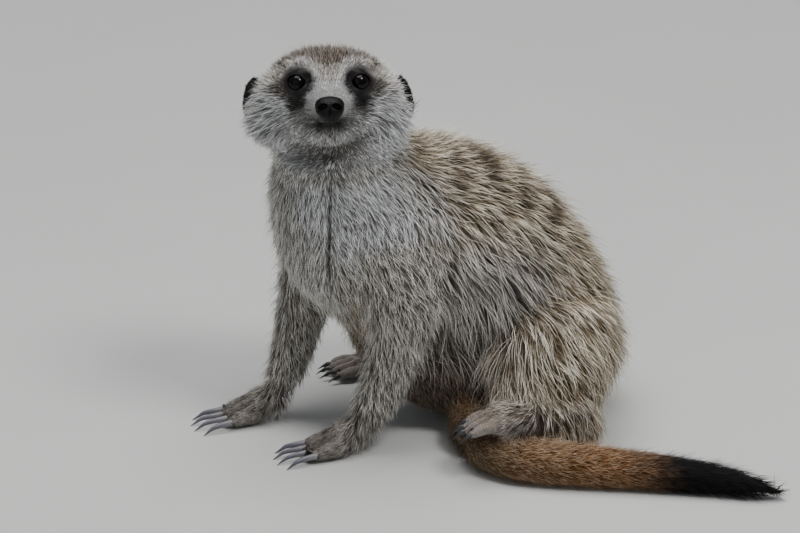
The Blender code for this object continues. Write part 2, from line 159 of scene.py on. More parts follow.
class Finish:
    """One material and the nodes that it is made with."""

    def __init__(self, name: str) -> None:
        """Start a Principled material.

        Args:
            name: The material's name.
        """
        self.material = bpy.data.materials.new(name)
        self.material.use_nodes = True
        self.tree = self.material.node_tree
        self.shader = self.tree.nodes["Principled BSDF"]

    def node(
        self,
        kind: str,
        settings: dict[str, object] | None = None,
        inputs: dict[str | int, object] | None = None,
    ) -> bpy.types.Node:
        """Add a node.

        Args:
            kind: The node's type.
            settings: Properties of the node, set first.
            inputs: Values or links of its sockets, by name or number.

        Returns:
            The node.
        """
        made = self.tree.nodes.new(kind)
        for name, value in (settings or {}).items():
            setattr(made, name, value)
        for name, value in (inputs or {}).items():
            self.feed(made.inputs[name], value)
        return made

    def feed(self, slot: bpy.types.NodeSocket, value: object) -> None:
        """Link a socket, or set its own value.

        Args:
            slot: The socket.
            value: A link to make, or what the socket is set to.
        """
        if isinstance(value, Value):
            self.tree.links.new(value.socket, slot)
        elif isinstance(value, bpy.types.NodeSocket):
            self.tree.links.new(value, slot)
        elif isinstance(value, tuple) and slot.type == "RGBA":
            slot.default_value = (*value, 1.0)
        else:
            slot.default_value = value

    def number(self, socket: bpy.types.NodeSocket) -> Value:
        """Wrap a socket for arithmetic."""
        return Value(self.tree, socket)

    def attribute(self, name: str) -> Value:
        """A number kept at the points of the mesh."""
        return self.number(self.node("ShaderNodeAttribute", {"attribute_name": name}).outputs["Fac"])

    def mix(
        self, share: Value | float, one: object, other: object, blend: str = "MIX"
    ) -> bpy.types.NodeSocket:
        """Mix two colours.

        Args:
            share: How much of the other colour shows.
            one: The colour at 0.
            other: The colour at 1.
            blend: The node's blend type.

        Returns:
            The mixed colour.
        """
        made = self.node("ShaderNodeMix", {"data_type": "RGBA", "blend_type": blend})
        self.feed(made.inputs[0], share)
        self.feed(made.inputs[6], one)
        self.feed(made.inputs[7], other)
        return made.outputs[2]

    def place(self) -> bpy.types.NodeSocket:
        """The point's place in the object's own axes."""
        return self.node("ShaderNodeTexCoord").outputs["Object"]

    def noise(self, scale: float, detail: float = 3.0, roughness: float = 0.55) -> Value:
        """Cloudy noise of the object's own axes.

        Args:
            scale: Clouds to the metre.
            detail: Finer layers.
            roughness: Strength of the finer layers.

        Returns:
            The noise, around one half.
        """
        inputs = {"Vector": self.place(), "Scale": scale, "Detail": detail, "Roughness": roughness}
        return self.number(self.node("ShaderNodeTexNoise", None, inputs).outputs[0])

    def bump(self, height: Value, depth: float, strength: float = 1.0) -> None:
        """Put a relief on the surface.

        Args:
            height: The relief, 0 to 1.
            depth: What 1 stands for, in metres.
            strength: Share of the effect.
        """
        inputs = {"Height": height, "Distance": depth, "Strength": strength}
        made = self.node("ShaderNodeBump", None, inputs)
        self.tree.links.new(made.outputs[0], self.shader.inputs["Normal"])

    def set(self, **values: object) -> Finish:
        """Set or link sockets of the shader.

        Args:
            values: What goes in, by the socket's name with _ for a space.

        Returns:
            The finish itself.
        """
        for name, value in values.items():
            self.feed(self.shader.inputs[name.replace("_", " ")], value)
        return self


@dataclass(frozen=True)
class CoatFinish:
    """Colours of the hair, the same for the skin under it and the coat."""

    buff: Colour = (0.31, 0.24, 0.16)
    grey: Colour = (0.53, 0.53, 0.52)
    tan: Colour = (0.31, 0.222, 0.122)
    rust: Colour = (0.25, 0.102, 0.023)
    brown: Colour = (0.075, 0.050, 0.032)
    black: Colour = (0.008, 0.007, 0.007)
    pink: Colour = (0.38, 0.29, 0.23)
    cream: Colour = (0.74, 0.68, 0.56)
    white: Colour = (0.89, 0.90, 0.91)
    root_shade: float = 0.10
    roughness: float = 0.62

    def colour(self, finish: Finish, along: Value | float) -> bpy.types.NodeSocket:
        """Colour a hair from the marks where it lies and the place along it.

        Args:
            finish: The material to build in.
            along: 0 at the root, 1 at the tip.

        Returns:
            The colour.
        """
        ground = finish.mix(finish.attribute("pale"), self.buff, self.grey)
        ground = finish.mix(finish.attribute("warm"), ground, self.tan)
        ground = finish.mix(finish.attribute("rusty"), ground, self.rust)
        ground = finish.mix(finish.attribute("bare"), ground, self.pink)
        # The bars mark brings in brown hair: real brown marks and painted shade alike.
        ground = finish.mix(finish.attribute("bars"), ground, self.brown)
        ground = finish.mix(finish.attribute("black"), ground, self.black)
        if isinstance(along, Value):
            tint = finish.attribute("tint")
            tip = finish.mix(finish.attribute("pale"), self.cream, self.white)
            tipped = finish.attribute("tipped") * tint.step(0.3, 0.7) * along.step(0.34, 0.80)
            colour = finish.mix(tipped, ground, tip)
            floor = finish.attribute("airy") * (0.75 - self.root_shade) + self.root_shade
            shade = along.step(0.0, 0.6) * (1.0 - floor) + floor
            shade = shade * (tint * 1.3 + 0.28)
        else:
            colour = ground
            shade = finish.noise(900.0) * 0.4 + finish.attribute("airy") * 0.35 + self.root_shade
        grey = finish.node("ShaderNodeCombineColor", None, {"Red": shade, "Green": shade, "Blue": shade})
        return finish.mix(1.0, colour, grey.outputs[0], "MULTIPLY")

    def hair(self) -> bpy.types.Material:
        """Build the coat's material.

        Returns:
            The material.
        """
        finish = Finish("hair")
        colour = self.colour(finish, finish.attribute("along"))
        finish.set(Base_Color=colour, Roughness=self.roughness, Specular_IOR_Level=0.15)
        return finish.material

    def skin(self) -> bpy.types.Material:
        """Build the material of the skin and the short down on it.

        Returns:
            The material.
        """
        finish = Finish("skin")
        finish.set(Base_Color=self.colour(finish, 0.0), Roughness=0.85, Specular_IOR_Level=0.2)
        finish.bump(finish.noise(2600.0, 4.0), 0.0004, 0.8)
        return finish.material


@dataclass(frozen=True)
class WetFinish:
    """Dark, moist skin with a fine grain and painted shade in its creases, as on the nose and round the
    eyes.
    """

    name: str
    colour: Colour = (0.009, 0.007, 0.008)
    # Painted shade in the creases between the skin's pebbles.
    crease_shade: Colour = (0.002, 0.002, 0.002)
    grain: float = 1500.0
    roughness: float = 0.36
    gloss: float = 0.22

    def material(self) -> bpy.types.Material:
        """Build the material.

        Returns:
            The material.
        """
        finish = Finish(self.name)
        inputs = {"Vector": finish.place(), "Scale": self.grain}
        cells = finish.number(finish.node("ShaderNodeTexVoronoi", None, inputs).outputs["Distance"])
        mottle = finish.noise(420.0)
        # Darker in the cells' creases as painted shade, mixed with random mottle.
        colour = finish.mix((cells * 0.8 + mottle * 0.4).held(), self.colour, self.crease_shade)
        rough = mottle * 0.3 + self.roughness - 0.15
        finish.set(Base_Color=colour, Roughness=rough, Specular_IOR_Level=self.gloss)
        finish.bump(1.0 - cells, 0.00025, 0.7)
        return finish.material


@dataclass(frozen=True)
class EyeFinish:
    """A nearly black eye with a dark brown iris."""

    pupil: Colour = (0.001, 0.001, 0.001)
    iris: Colour = (0.0035, 0.0022, 0.0016)
    rim: Colour = (0.002, 0.0015, 0.0015)

    def material(self) -> bpy.types.Material:
        """Build the material; ``aside`` is 0 on the eye's axis and 1 a quarter turn off.

        Returns:
            The material.
        """
        finish = Finish("eye")
        aside = finish.attribute("aside")
        streaks = finish.noise(2400.0, 2.0)
        iris = finish.mix(streaks.step(0.35, 0.7), self.iris, self.rim)
        colour = finish.mix(aside.step(0.16, 0.22), self.pupil, iris)
        colour = finish.mix(aside.step(0.42, 0.52), colour, self.rim)
        finish.set(Base_Color=colour, Roughness=0.03, Specular_IOR_Level=0.19)
        return finish.material


@dataclass(frozen=True)
class HornFinish:
    """Blue-grey claw horn, paler at the root."""

    name: str
    horn: Colour = (0.085, 0.085, 0.115)
    root: Colour = (0.24, 0.225, 0.23)
    tip: Colour = (0.030, 0.029, 0.036)

    def material(self) -> bpy.types.Material:
        """Build the material.

        Returns:
            The material.
        """
        finish = Finish(self.name)
        along = finish.attribute("along")
        streaks = finish.noise(1300.0, 4.0)
        colour = finish.mix(along.step(0.1, 0.5), self.root, self.horn)
        colour = finish.mix(along.step(0.55, 1.0), colour, self.tip)
        colour = finish.mix(streaks.step(0.3, 0.9) * 0.4, colour, self.root)
        finish.set(Base_Color=colour, Roughness=streaks * 0.3 + 0.25)
        finish.bump(streaks, 0.00012, 0.5)
        return finish.material


@dataclass(frozen=True)
class PlainFinish:
    """A matt surface with faint clouds, for the floor and single hairs."""

    name: str
    colour: Colour
    roughness: float = 0.8

    def material(self) -> bpy.types.Material:
        """Build the material.

        Returns:
            The material.
        """
        finish = Finish(self.name)
        darker = tuple(part * 0.9 for part in self.colour)
        finish.set(Base_Color=finish.mix(finish.noise(6.0), self.colour, darker), Roughness=self.roughness)
        return finish.material


# --------------------------------------------------------------------------
# Meshes as arrays
# --------------------------------------------------------------------------


def eased(values: np.ndarray, low: float, high: float) -> np.ndarray:
    """Smooth ramp from 0 at low to 1 at high, also where low is the greater."""
    share = np.clip((values - low) / (high - low), 0.0, 1.0)
    return share * share * (3.0 - 2.0 * share)


def units(vectors: np.ndarray) -> np.ndarray:
    """The vectors made one long."""
    return vectors / np.maximum(np.linalg.norm(vectors, axis=-1, keepdims=True), 1e-9)


@dataclass(frozen=True)
class Patch:
    """An ellipsoid with a soft edge, in the axes and the unit of the points it is laid over.

    Attributes:
        centre: The middle.
        radii: Half sizes along the three axes.
        soft: Width of the edge as a share of the radii.
    """

    centre: tuple[float, float, float]
    radii: tuple[float, float, float]
    soft: float

    def over(self, points: np.ndarray) -> np.ndarray:
        """1 for points well inside, 0 outside."""
        reach = np.linalg.norm((points - np.array(self.centre)) / np.array(self.radii), axis=1)
        return eased(reach, 1.0 + self.soft, 1.0 - self.soft)


def folded(head: np.ndarray) -> np.ndarray:
    """Places in the head's axes with its right half laid over its left."""
    return np.column_stack((np.abs(head[:, 0]), head[:, 1:]))


def clouds(points: np.ndarray, scale: float, offset: float = 0.0) -> np.ndarray:
    """Smooth noise between -1 and 1.

    Args:
        points: Places in metres.
        scale: Clouds to the metre.
        offset: Moves to another stretch of the noise.

    Returns:
        One number to a point.
    """
    moved = points * scale + offset
    return np.array([noise.noise(point) for point in moved.tolist()])


def mesh_of(name: str, points: np.ndarray, triangles: np.ndarray) -> bpy.types.Mesh:
    """A triangle mesh from arrays.

    Args:
        name: The mesh's name.
        points: Places in metres.
        triangles: Three point numbers to a row.

    Returns:
        The mesh, shaded smooth.
    """
    mesh = bpy.data.meshes.new(name)
    mesh.vertices.add(len(points))
    mesh.vertices.foreach_set("co", points.astype(np.float32).ravel())
    mesh.loops.add(triangles.size)
    mesh.loops.foreach_set("vertex_index", triangles.astype(np.int32).ravel())
    mesh.polygons.add(len(triangles))
    mesh.polygons.foreach_set("loop_start", np.arange(0, triangles.size, 3, dtype=np.int32))
    mesh.update(calc_edges=True)
    mesh.shade_smooth()
    return mesh


def points_of(mesh: bpy.types.Mesh) -> np.ndarray:
    """The mesh's points.

    Args:
        mesh: The mesh.

    Returns:
        One row to a point.
    """
    found = np.empty(len(mesh.vertices) * 3, dtype=np.float32)
    mesh.vertices.foreach_get("co", found)
    return found.reshape(-1, 3).astype(float)


def triangles_of(mesh: bpy.types.Mesh) -> np.ndarray:
    """The mesh's triangles.

    Args:
        mesh: The mesh.

    Returns:
        Three point numbers to a row.
    """
    mesh.calc_loop_triangles()
    found = np.empty(len(mesh.loop_triangles) * 3, dtype=np.int32)
    mesh.loop_triangles.foreach_get("vertices", found)
    return found.reshape(-1, 3)


def keep_numbers(mesh: bpy.types.Mesh, name: str, values: np.ndarray) -> None:
    """Store one number at each point of the mesh."""
    layer = mesh.attributes.new(name, "FLOAT", "POINT")
    layer.data.foreach_set("value", values.astype(np.float32).ravel())


def normals_of(points: np.ndarray, triangles: np.ndarray) -> np.ndarray:
    """Normals at the points, each face weighing by its area.

    Args:
        points: Places of the points.
        triangles: Rows of point numbers.

    Returns:
        One normal to a point.
    """
    one, two, three = (points[triangles[:, corner]] for corner in range(3))
    facing = np.cross(two - one, three - one)
    total = np.zeros_like(points)
    for corner in range(3):
        for axis in range(3):
            total[:, axis] += np.bincount(triangles[:, corner], facing[:, axis], len(points))
    return units(total)


class Web:
    """Which points of a mesh are joined, for spreading values over it."""

    def __init__(self, triangles: np.ndarray, count: int) -> None:
        """Find the joined pairs.

        Args:
            triangles: Rows of point numbers.
            count: How many points there are.
        """
        pairs = np.vstack((triangles[:, :2], triangles[:, 1:], triangles[:, ::2]))
        pairs = np.unique(np.sort(pairs, axis=1), axis=0)
        self.one = np.concatenate((pairs[:, 0], pairs[:, 1]))
        self.other = np.concatenate((pairs[:, 1], pairs[:, 0]))
        self.count = count
        self.degree = np.maximum(np.bincount(self.one, minlength=count), 1)

    def spread(self, values: np.ndarray, rounds: int, share: float = 0.5) -> np.ndarray:
        """Average each point's value with its neighbours'.

        Args:
            values: One row or number to a point.
            rounds: How many times.
            share: How far each round goes.

        Returns:
            The smoothed values.
        """
        flat = values.reshape(self.count, -1).astype(float)
        for _ in range(rounds):
            mean = np.empty_like(flat)
            for column in range(flat.shape[1]):
                sums = np.bincount(self.one, flat[self.other, column], self.count)
                mean[:, column] = sums / self.degree
            flat += (mean - flat) * share
        return flat.reshape(values.shape)


def linked(name: str, data: bpy.types.ID) -> bpy.types.Object:
    """Make an object and link it to the scene.

    Args:
        name: The object's name.
        data: Its mesh, camera or lamp.

    Returns:
        The object.
    """
    made = bpy.data.objects.new(name, data)
    bpy.context.scene.collection.objects.link(made)
    return made


def reworked(name: str, mesh: bpy.types.Mesh, kind: str, **settings: object) -> bpy.types.Mesh:
    """Pass a mesh through one modifier.

    Args:
        name: The work's name.
        mesh: The mesh.
        kind: The modifier's type.
        settings: Its properties.

    Returns:
        The new mesh.
    """
    item = linked(name, mesh)
    modifier = item.modifiers.new(name, kind)
    for setting, value in settings.items():
        setattr(modifier, setting, value)
    graph = bpy.context.evaluated_depsgraph_get()
    made = bpy.data.meshes.new_from_object(item.evaluated_get(graph), depsgraph=graph)
    bpy.data.objects.remove(item, do_unlink=True)
    return made


def show(name: str, mesh: bpy.types.Mesh, material: bpy.types.Material) -> bpy.types.Object:
    """Put a finished piece in the scene, riding on the still body.

    Args:
        name: The piece's name.
        mesh: Its mesh, in metres.
        material: Its finish.

    Returns:
        The piece.
    """
    made = linked(name, mesh)
    mesh.materials.clear()
    mesh.materials.append(material)
    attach(made, "root")
    LOG.info("%s: %d faces", name, len(mesh.polygons))
    return made


def middle(node: str) -> np.ndarray:
    """The middle of a CAD node's box."""
    low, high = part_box(node)
    return np.array((low + high) / 2)


# --------------------------------------------------------------------------
# The head's own axes
# --------------------------------------------------------------------------


@dataclass
class HeadAxes:
    """The head's axes, in millimetres from between the eyes.

    Attributes:
        nose_drop: How far the nose lies below straight ahead.
        origin: The middle between the eyes, in the frame.
        turn: Rows: to the head's left, ahead and up.
    """

    nose_drop: float = math.radians(24.3)
    origin: np.ndarray = field(init=False)
    turn: np.ndarray = field(init=False)

    def __post_init__(self) -> None:
        """Read the eyes and the nose from the frame."""
        left, right, nose = (middle(name) for name in ("eye_left", "eye_right", "nose"))
        self.origin = (left + right) / 2
        across = units(left - right)
        toward = nose - self.origin
        toward = units(toward - across * toward.dot(across))
        lift = np.cross(across, -toward)
        ahead = toward * math.cos(self.nose_drop) + lift * math.sin(self.nose_drop)
        self.turn = np.array((across, ahead, np.cross(ahead, across)))

    def seen(self, points: np.ndarray) -> np.ndarray:
        """Points in metres turned to the head's axes in millimetres."""
        return (points - self.origin) @ self.turn.T / MM

    def back(self, points: np.ndarray) -> np.ndarray:
        """Points in the head's axes turned to metres in the frame."""
        return np.asarray(points) * MM @ self.turn + self.origin

    def aimed(self, vectors: np.ndarray) -> np.ndarray:
        """Directions in the head's axes turned to the frame's."""
        return np.asarray(vectors) @ self.turn


# --------------------------------------------------------------------------
# Skin
# --------------------------------------------------------------------------


@dataclass(frozen=True)
class Pelt:
    """How the hair grows on one region.

    Attributes:
        length: Length in millimetres.
        width: A tuft's width in millimetres.
        toward: Where it points before it follows the skin: outward, back and up.
        lift: How much it stands off the skin.
        clump: How much it gathers into locks.
    """

    length: float
    width: float
    toward: tuple[float, float, float]
    lift: float = 1.0
    clump: float = 1.0


PELTS: dict[str, Pelt] = {
    "head": Pelt(3.6, 0.24, (0, 0, 1), clump=0.8),
    "neck": Pelt(8.5, 0.27, (0, 0.45, -0.9), clump=0.6),
    "chest": Pelt(9.5, 0.27, (0, 0.3, -1.0), clump=0.6),
    "belly": Pelt(14.5, 0.34, (0, 0.6, -0.8)),
    "rump": Pelt(13.0, 0.34, (0, 0.5, -0.85)),
    "thigh": Pelt(15.0, 0.34, (0.55, 0.40, -0.75)),
    "shank": Pelt(9.0, 0.30, (0.35, 0.25, -0.95)),
    "hind_foot": Pelt(3.6, 0.27, (0.1, -1.0, -0.1), clump=0.8),
    "upper_arm": Pelt(9.5, 0.29, (0.1, 0.35, -0.95), clump=0.75),
    "forearm": Pelt(7.6, 0.31, (0, 0.1, -1.0), clump=0.7),
    "forepaw": Pelt(2.7, 0.24, (0, -1.0, -0.2), clump=0.8),
    "tail": Pelt(6.4, 0.22, (1, 0, 0), clump=0.5),
    "ear": Pelt(2.2, 0.22, (0, 0.3, 1.0), 0.7),
}

# The tail's middle line on the floor, from its root to its tip.
TAIL_WAY = (
    (-36, 61), (-32, 37), (-17, 15), (6, 3), (26, 1), (43, 8),
    (55, 24), (65, 45), (76, 67), (88, 89), (99, 106), (104, 117),
)

# Nodes that have pieces of their own and aren't under the skin.
APART = ("eye", "nose", "fore_claw", "hind_claw")
STEMS = tuple(PELTS)
MARKS = ("pale", "warm", "rusty", "bare", "bars", "tipped", "black")
DARK_HORN = ((0.020, 0.020, 0.024), (0.07, 0.065, 0.065), (0.010, 0.010, 0.012))

# Marks of the face, in the head's axes.  One with a twin is laid over the folded head.
EYE_PATCH = Patch((13.5, 4, 0.0), (7.5, 16, 8.0), 0.30)
UNDER_EYE = Patch((14.6, 2, -8.6), (5.0, 14, 6.0), 0.5)
BESIDE_EYE = Patch((20.0, 0, -2.4), (7.2, 14, 4.4), 0.45)
BROW_SPOT = Patch((14.5, 4, 9.2), (8.5, 14, 3.4), 0.6)
TEMPLE = Patch((24, -6, 4), (11, 16, 9), 0.6)
MOUTH_CORNER = Patch((10.5, 16, -17.5), (5.0, 14, 3.4), 0.6)
# Black lips, widened into painted shade under the nose.
LIPS_AND_SHADE_UNDER_NOSE = Patch((0, 20, -18.6), (14.5, 12, 4.0), 0.6)
# Painted shadow on the chin below the mouth, laid on as brown hair.
SHADOW_ON_CHIN = Patch((0, 14, -24.5), (14, 14, 6), 0.6)
# Painted shadow under the chin, laid on as brown hair.
SHADOW_UNDER_CHIN = Patch((0, 0, -31), (19, 17, 11), 0.6)
MUZZLE = Patch((0, 24, -9), (12, 16, 11), 0.8)
FOREHEAD = Patch((0, 2, 8), (9, 16, 8), 0.6)
FOREHEAD_STREAK = Patch((0, 5, 8.5), (4.0, 14, 7.5), 0.7)

# Where the head's hair differs from the rest of it, on the folded head: length, width and lift.
HEAD_GROWTH = {
    "cheek": (Patch((26, -14, -14), (14, 20, 13), 0.5), 11.0, 0.27, 1.55),
    "before the ear": (Patch((28, -20, 2), (10, 16, 9), 0.5), 6.0, 0.25, 1.5),
    "muzzle": (Patch((0, 22, -12), (14, 17, 12), 0.5), 1.6, 0.20, 0.9),
    "chin": (Patch((0, 13, -24), (11, 10, 5), 0.5), 4.6, 0.22, 1.4),
    "round the eye": (Patch((13.7, 2, 0), (8.5, 9, 8.5), 0.3), 1.2, 0.17, 0.8),
}
CHEEK_FAN = Patch((26, -8, -16), (18, 24, 14), 0.6)

# Places on the body, in metres in the frame.
PALE_FLANK = Patch((0.005, 0.0, 0.065), (0.05, 0.045, 0.035), 0.5)
LEFT_FRINGE = Patch((0.012, 0.000, 0.067), (0.03, 0.044, 0.022), 0.4)
RIGHT_FRINGE = Patch((-0.082, 0.000, 0.067), (0.03, 0.044, 0.022), 0.4)
NAPE = Patch((-0.03, 0.0, 0.135), (0.045, 0.035, 0.022), 0.5)
TAIL_TUFT = Patch(tuple(np.array((*TAIL_WAY[-1], 6)) * MM), (0.026, 0.034, 0.03), 0.5)


def airiness(length: np.ndarray) -> np.ndarray:
    """How little hair of these lengths, in millimetres, shades its own roots."""
    return eased(length, 5.0, 1.2)


def stem(node: str) -> str:
    """The region that a node belongs to, such as thigh for thigh_left."""
    return max((name for name in PELTS if node.startswith(name)), key=len)


@dataclass(frozen=True)
class Foot:
    """Where the toes of one foot end, and the grooves between them.

    Attributes:
        roots: Where each claw leaves its toe, from right to left.
        back: The way from the claws to the heel.
        reach: How far to each side its points lie, in metres.
    """

    roots: np.ndarray
    back: np.ndarray
    reach: float = 0.022

    @classmethod
    def of(cls, nodes: dict[str, bpy.types.Object], foot: str, side: str, toes: int = 4) -> Foot:
        """Read a foot's claws from the frame.

        Args:
            nodes: The CAD nodes.
            foot: fore or hind.
            side: left or right.
            toes: How many claws there are.

        Returns:
            The foot.
        """
        claws = [points_of(nodes[f"{foot}_claw_{side}_{number}"].data) for number in range(1, toes + 1)]
        claws.sort(key=lambda claw: claw[:, 0].mean())
        back = np.array((0.0, 1.0, 0.0))
        return cls(np.array([claw[(claw @ back).argmax()] for claw in claws]), back)

    def behind(self, points: np.ndarray) -> np.ndarray:
        """How far behind the claws' roots each point lies, in millimetres."""
        return (points - self.roots.mean(axis=0)) @ self.back / MM

    def own(self, points: np.ndarray) -> np.ndarray:
        """Which points lie in line with this foot and not with its twin."""
        return np.abs(points[:, 0] - self.roots[:, 0].mean()) < self.reach

    def groove(self, points: np.ndarray, width: float, length: float) -> np.ndarray:
        """How deep in a groove between two toes each point lies.

        Args:
            points: Places in metres.
            width: Half width of a groove in millimetres.
            length: How far back it runs in millimetres.

        Returns:
            1 in a groove, 0 outside.
        """
        between = (self.roots[1:] + self.roots[:-1]) / 2
        aside = np.abs(points[:, None, 0] - between[None, :, 0]).min(axis=1) / MM
        behind = self.behind(points)
        across = np.abs(points[:, 0] - self.roots[:, 0].mean()) / MM
        near = (across < 14) & (np.abs(points[:, 2] - self.roots[:, 2].mean()) < 0.02)
        along = eased(behind, length, length * 0.5)
        return eased(aside, width, 0.0) * along * eased(behind, -8, -5) * near


@dataclass(frozen=True)
class Places:
    """Points that marks are worked out for, and the noise that breaks up the marks' edges.

    Attributes:
        points: Places in metres.
        parts: For each point its share in each region, in the order of STEMS.
        head: The same places in the head's axes.
        wander: Broad noise.
        fine: Small noise.
        middle_line: Where the body's middle lies in x, in millimetres.
    """

    points: np.ndarray
    parts: np.ndarray
    head: np.ndarray
    wander: np.ndarray
    fine: np.ndarray
    middle_line: float = -34

    def height(self) -> np.ndarray:
        """Height over the floor in millimetres."""
        return self.points[:, 2] / MM

    def off_middle(self) -> np.ndarray:
        """How far to the side of the body's middle each point lies, in millimetres."""
        return np.abs(self.points[:, 0] / MM - self.middle_line)


@dataclass(frozen=True)
class Markings:
    """The coat's pattern and the shade painted into it, from where a point lies and which regions it belongs
    to.

    Attributes:
        axes: The head's axes.
        feet: The four feet, such as fore_left.
        bar: Degrees from one bar of the back to the next.
        pivot: The point in y and z, in metres, that the bars stand round.
    """

    axes: HeadAxes
    feet: dict[str, Foot]
    bar: float = 14.5
    pivot: tuple[float, float] = (0.0, 0.055)

    def over(self, parts: np.ndarray, *stems: str) -> np.ndarray:
        """The share that belongs to the named regions."""
        return parts[:, [STEMS.index(name) for name in stems]].sum(axis=1)

    def face(self, head: np.ndarray, fine: np.ndarray) -> tuple[np.ndarray, np.ndarray]:
        """The dark face, with painted shade under the nose and painted shadow on the chin.

        Args:
            head: Places in the head's axes.
            fine: Small noise at the same places.

        Returns:
            How black and how brown each point is, painted shade included.
        """
        half = folded(head)
        rough = half + np.column_stack((1.3 * fine, 0 * fine, 1.5 * fine))
        eye = EYE_PATCH.over(rough)
        lower = UNDER_EYE.over(rough) * 0.92
        # Dark lips and painted shade under the nose.
        lips_and_shade = LIPS_AND_SHADE_UNDER_NOSE.over(head) * 0.90
        outer = BESIDE_EYE.over(rough)
        dark = np.maximum.reduce((eye, lower, lips_and_shade, outer * 0.5))
        black = np.clip(dark * (1.02 + 0.20 * fine), 0, 1)
        smudge = MOUTH_CORNER.over(half) * 0.55
        # Painted shadow on the chin.
        chin = SHADOW_ON_CHIN.over(head) * (0.80 + 0.25 * fine)
        muzzle = MUZZLE.over(head) * (0.46 + 0.20 * fine)
        brown = np.clip(np.maximum.reduce((outer, smudge, lower, chin, muzzle)) * 0.85, 0, 1)
        ahead = eased(head[:, 1], -24, -10)
        return black * ahead, brown * ahead

    def front(self, where: Places) -> np.ndarray:
        """1 on the front of the head, 0 behind."""
        return eased(where.head[:, 1] + 6 * where.wander + 4 * where.fine, -38, -14)

    def pale(self, where: Places) -> np.ndarray:
        """The pale face, throat, chest, flank and feet.

        Args:
            where: The places.

        Returns:
            How pale each point is.
        """
        head, parts, wander, fine = where.head, where.parts, where.wander, where.fine
        on_head = self.over(parts, "head")
        height = where.height()
        throat = self.over(parts, "neck", "chest") * eased(head[:, 1] + 5 * wander, -30, -14)
        chest = self.over(parts, "neck", "chest") + self.over(parts, "belly") * 0.6
        arms = self.over(parts, "upper_arm", "forearm")
        chest = chest + arms * eased(height + 16 * wander + 10 * fine, 40, 98)
        chest = chest + on_head * eased(height + 8 * wander, 166, 140)
        spine = 0.25 * (height - 90) - 0.16 * where.off_middle()
        ahead = -where.points[:, 1] / MM
        chest = chest * eased(ahead + 9 * wander + 8 * fine + spine, 22, 60) * 0.68
        half = folded(head)
        face = on_head * self.front(where) * (1 - 0.50 * TEMPLE.over(half) - 0.45 * FOREHEAD.over(head))
        flank = PALE_FLANK.over(where.points) * 0.52
        toes = self.over(parts, "hind_foot", "forepaw") * 0.40
        fluff = self.over(parts, "hind_foot") * eased(height, 33, 27) * 0.9
        legs = self.over(parts, "upper_arm", "forearm", "forepaw")
        return np.maximum.reduce((face, throat, chest, flank, toes, fluff, 0.50 * legs))

    def crown(self, where: Places) -> tuple[np.ndarray, np.ndarray]:
        """The brown crown and the streak down the forehead.

        Args:
            where: The places.

        Returns:
            How far each point is on the crown and on the streak.
        """
        head, wander, fine = where.head, where.wander, where.fine
        on_head = self.over(where.parts, "head")
        arch = head[:, 2] + 2.2 * wander + 1.8 * fine + 0.004 * head[:, 0] ** 2
        crown = eased(arch, 6.4, 10.2) * on_head
        crown = crown * eased(np.abs(head[:, 0]) + 3 * fine, 29, 20) * (0.5 + 0.5 * self.front(where))
        crown = crown * (1 - 0.75 * (BROW_SPOT.over(folded(head)) * on_head))
        streak = FOREHEAD_STREAK.over(head) * on_head * (0.62 + 0.30 * fine)
        return crown, streak

    def back(self, where: Places) -> np.ndarray:
        """The broken bars across the back.

        Args:
            where: The places.

        Returns:
            How far each point is on a bar.
        """
        points, wander, fine = where.points, where.wander, where.fine
        angle = np.degrees(np.arctan2(points[:, 2] - self.pivot[1], -(points[:, 1] - self.pivot[0])))
        ridge = np.sin(np.radians(angle * 360 / self.bar) + 2.2 * wander)
        patches = eased(clouds(points, 62.0, 13.0), -0.30, 0.12)
        back = eased(where.height() + 8 * wander, 70, 100)
        back = back * self.over(where.parts, "belly", "rump", "chest", "thigh")
        back = back * eased(angle, 66, 86) * eased(angle, 178, 168)
        back = back * eased(where.off_middle() + 6 * wander, 42, 26)
        return eased(ridge + 0.5 * fine + 0.4 * wander, -0.1, 0.5) * back * (0.45 + 0.55 * patches)

    def tail(self, where: Places) -> tuple[np.ndarray, np.ndarray, np.ndarray]:
        """The tail's own marks.

        Args:
            where: The places.

        Returns:
            How far each point is on the tail's rusty length, on its black tip and on its dark ridge.
        """
        wander, fine, height = where.wander, where.fine, where.height()
        tail = self.over(where.parts, "tail")
        along, ahead = where.points[:, 0] / MM, where.points[:, 1] / MM
        base = eased(along + 8 * wander + 6 * fine, 72, 40) * eased(height + 3 * fine, 26, 12) * 0.55
        tip = eased(ahead + 0.35 * (along - 60) + 6 * wander + 7 * fine, 52, 86) * tail
        ridge = tail * eased(fine + 0.4 * wander, 0.0, 0.6) * eased(height, 10, 18) * 0.35
        return tail * (1 - base), tip, ridge

    def parting(self, where: Places) -> np.ndarray:
        """The dark line down the throat's parting.

        Args:
            where: The places.

        Returns:
            How dark each point is.
        """
        height = where.height()
        side = self.beside_parting(where.head, height) + 0.6 * where.wander
        line = eased(np.abs(side), 1.1, 0.3) * self.over(where.parts, "neck", "chest") * 0.72
        return line * (where.head[:, 1] > -30) * eased(height, 78, 92)

    def dusk_and_painted_shade(self, where: Places, low: np.ndarray) -> np.ndarray:
        """Darker brown hair: grizzle and painted shade on the limbs and feet, darker towards the rear, dark
        skin and painted shadow on the underside, painted shadow under the chin.

        Args:
            where: The places.
            low: How far each point is on the underside, darkened for its dark skin and as painted shadow
                under the flank's fringe.

        Returns:
            How dark each point is, painted shade included.
        """
        parts, fine = where.parts, where.fine
        legs = self.over(parts, "upper_arm", "forearm", "forepaw")
        on_feet = self.over(parts, "hind_foot", "forepaw")
        rear = eased(where.points[:, 1] / MM + 8 * where.wander, 48, 84)
        rear = self.over(parts, "rump", "thigh") * rear
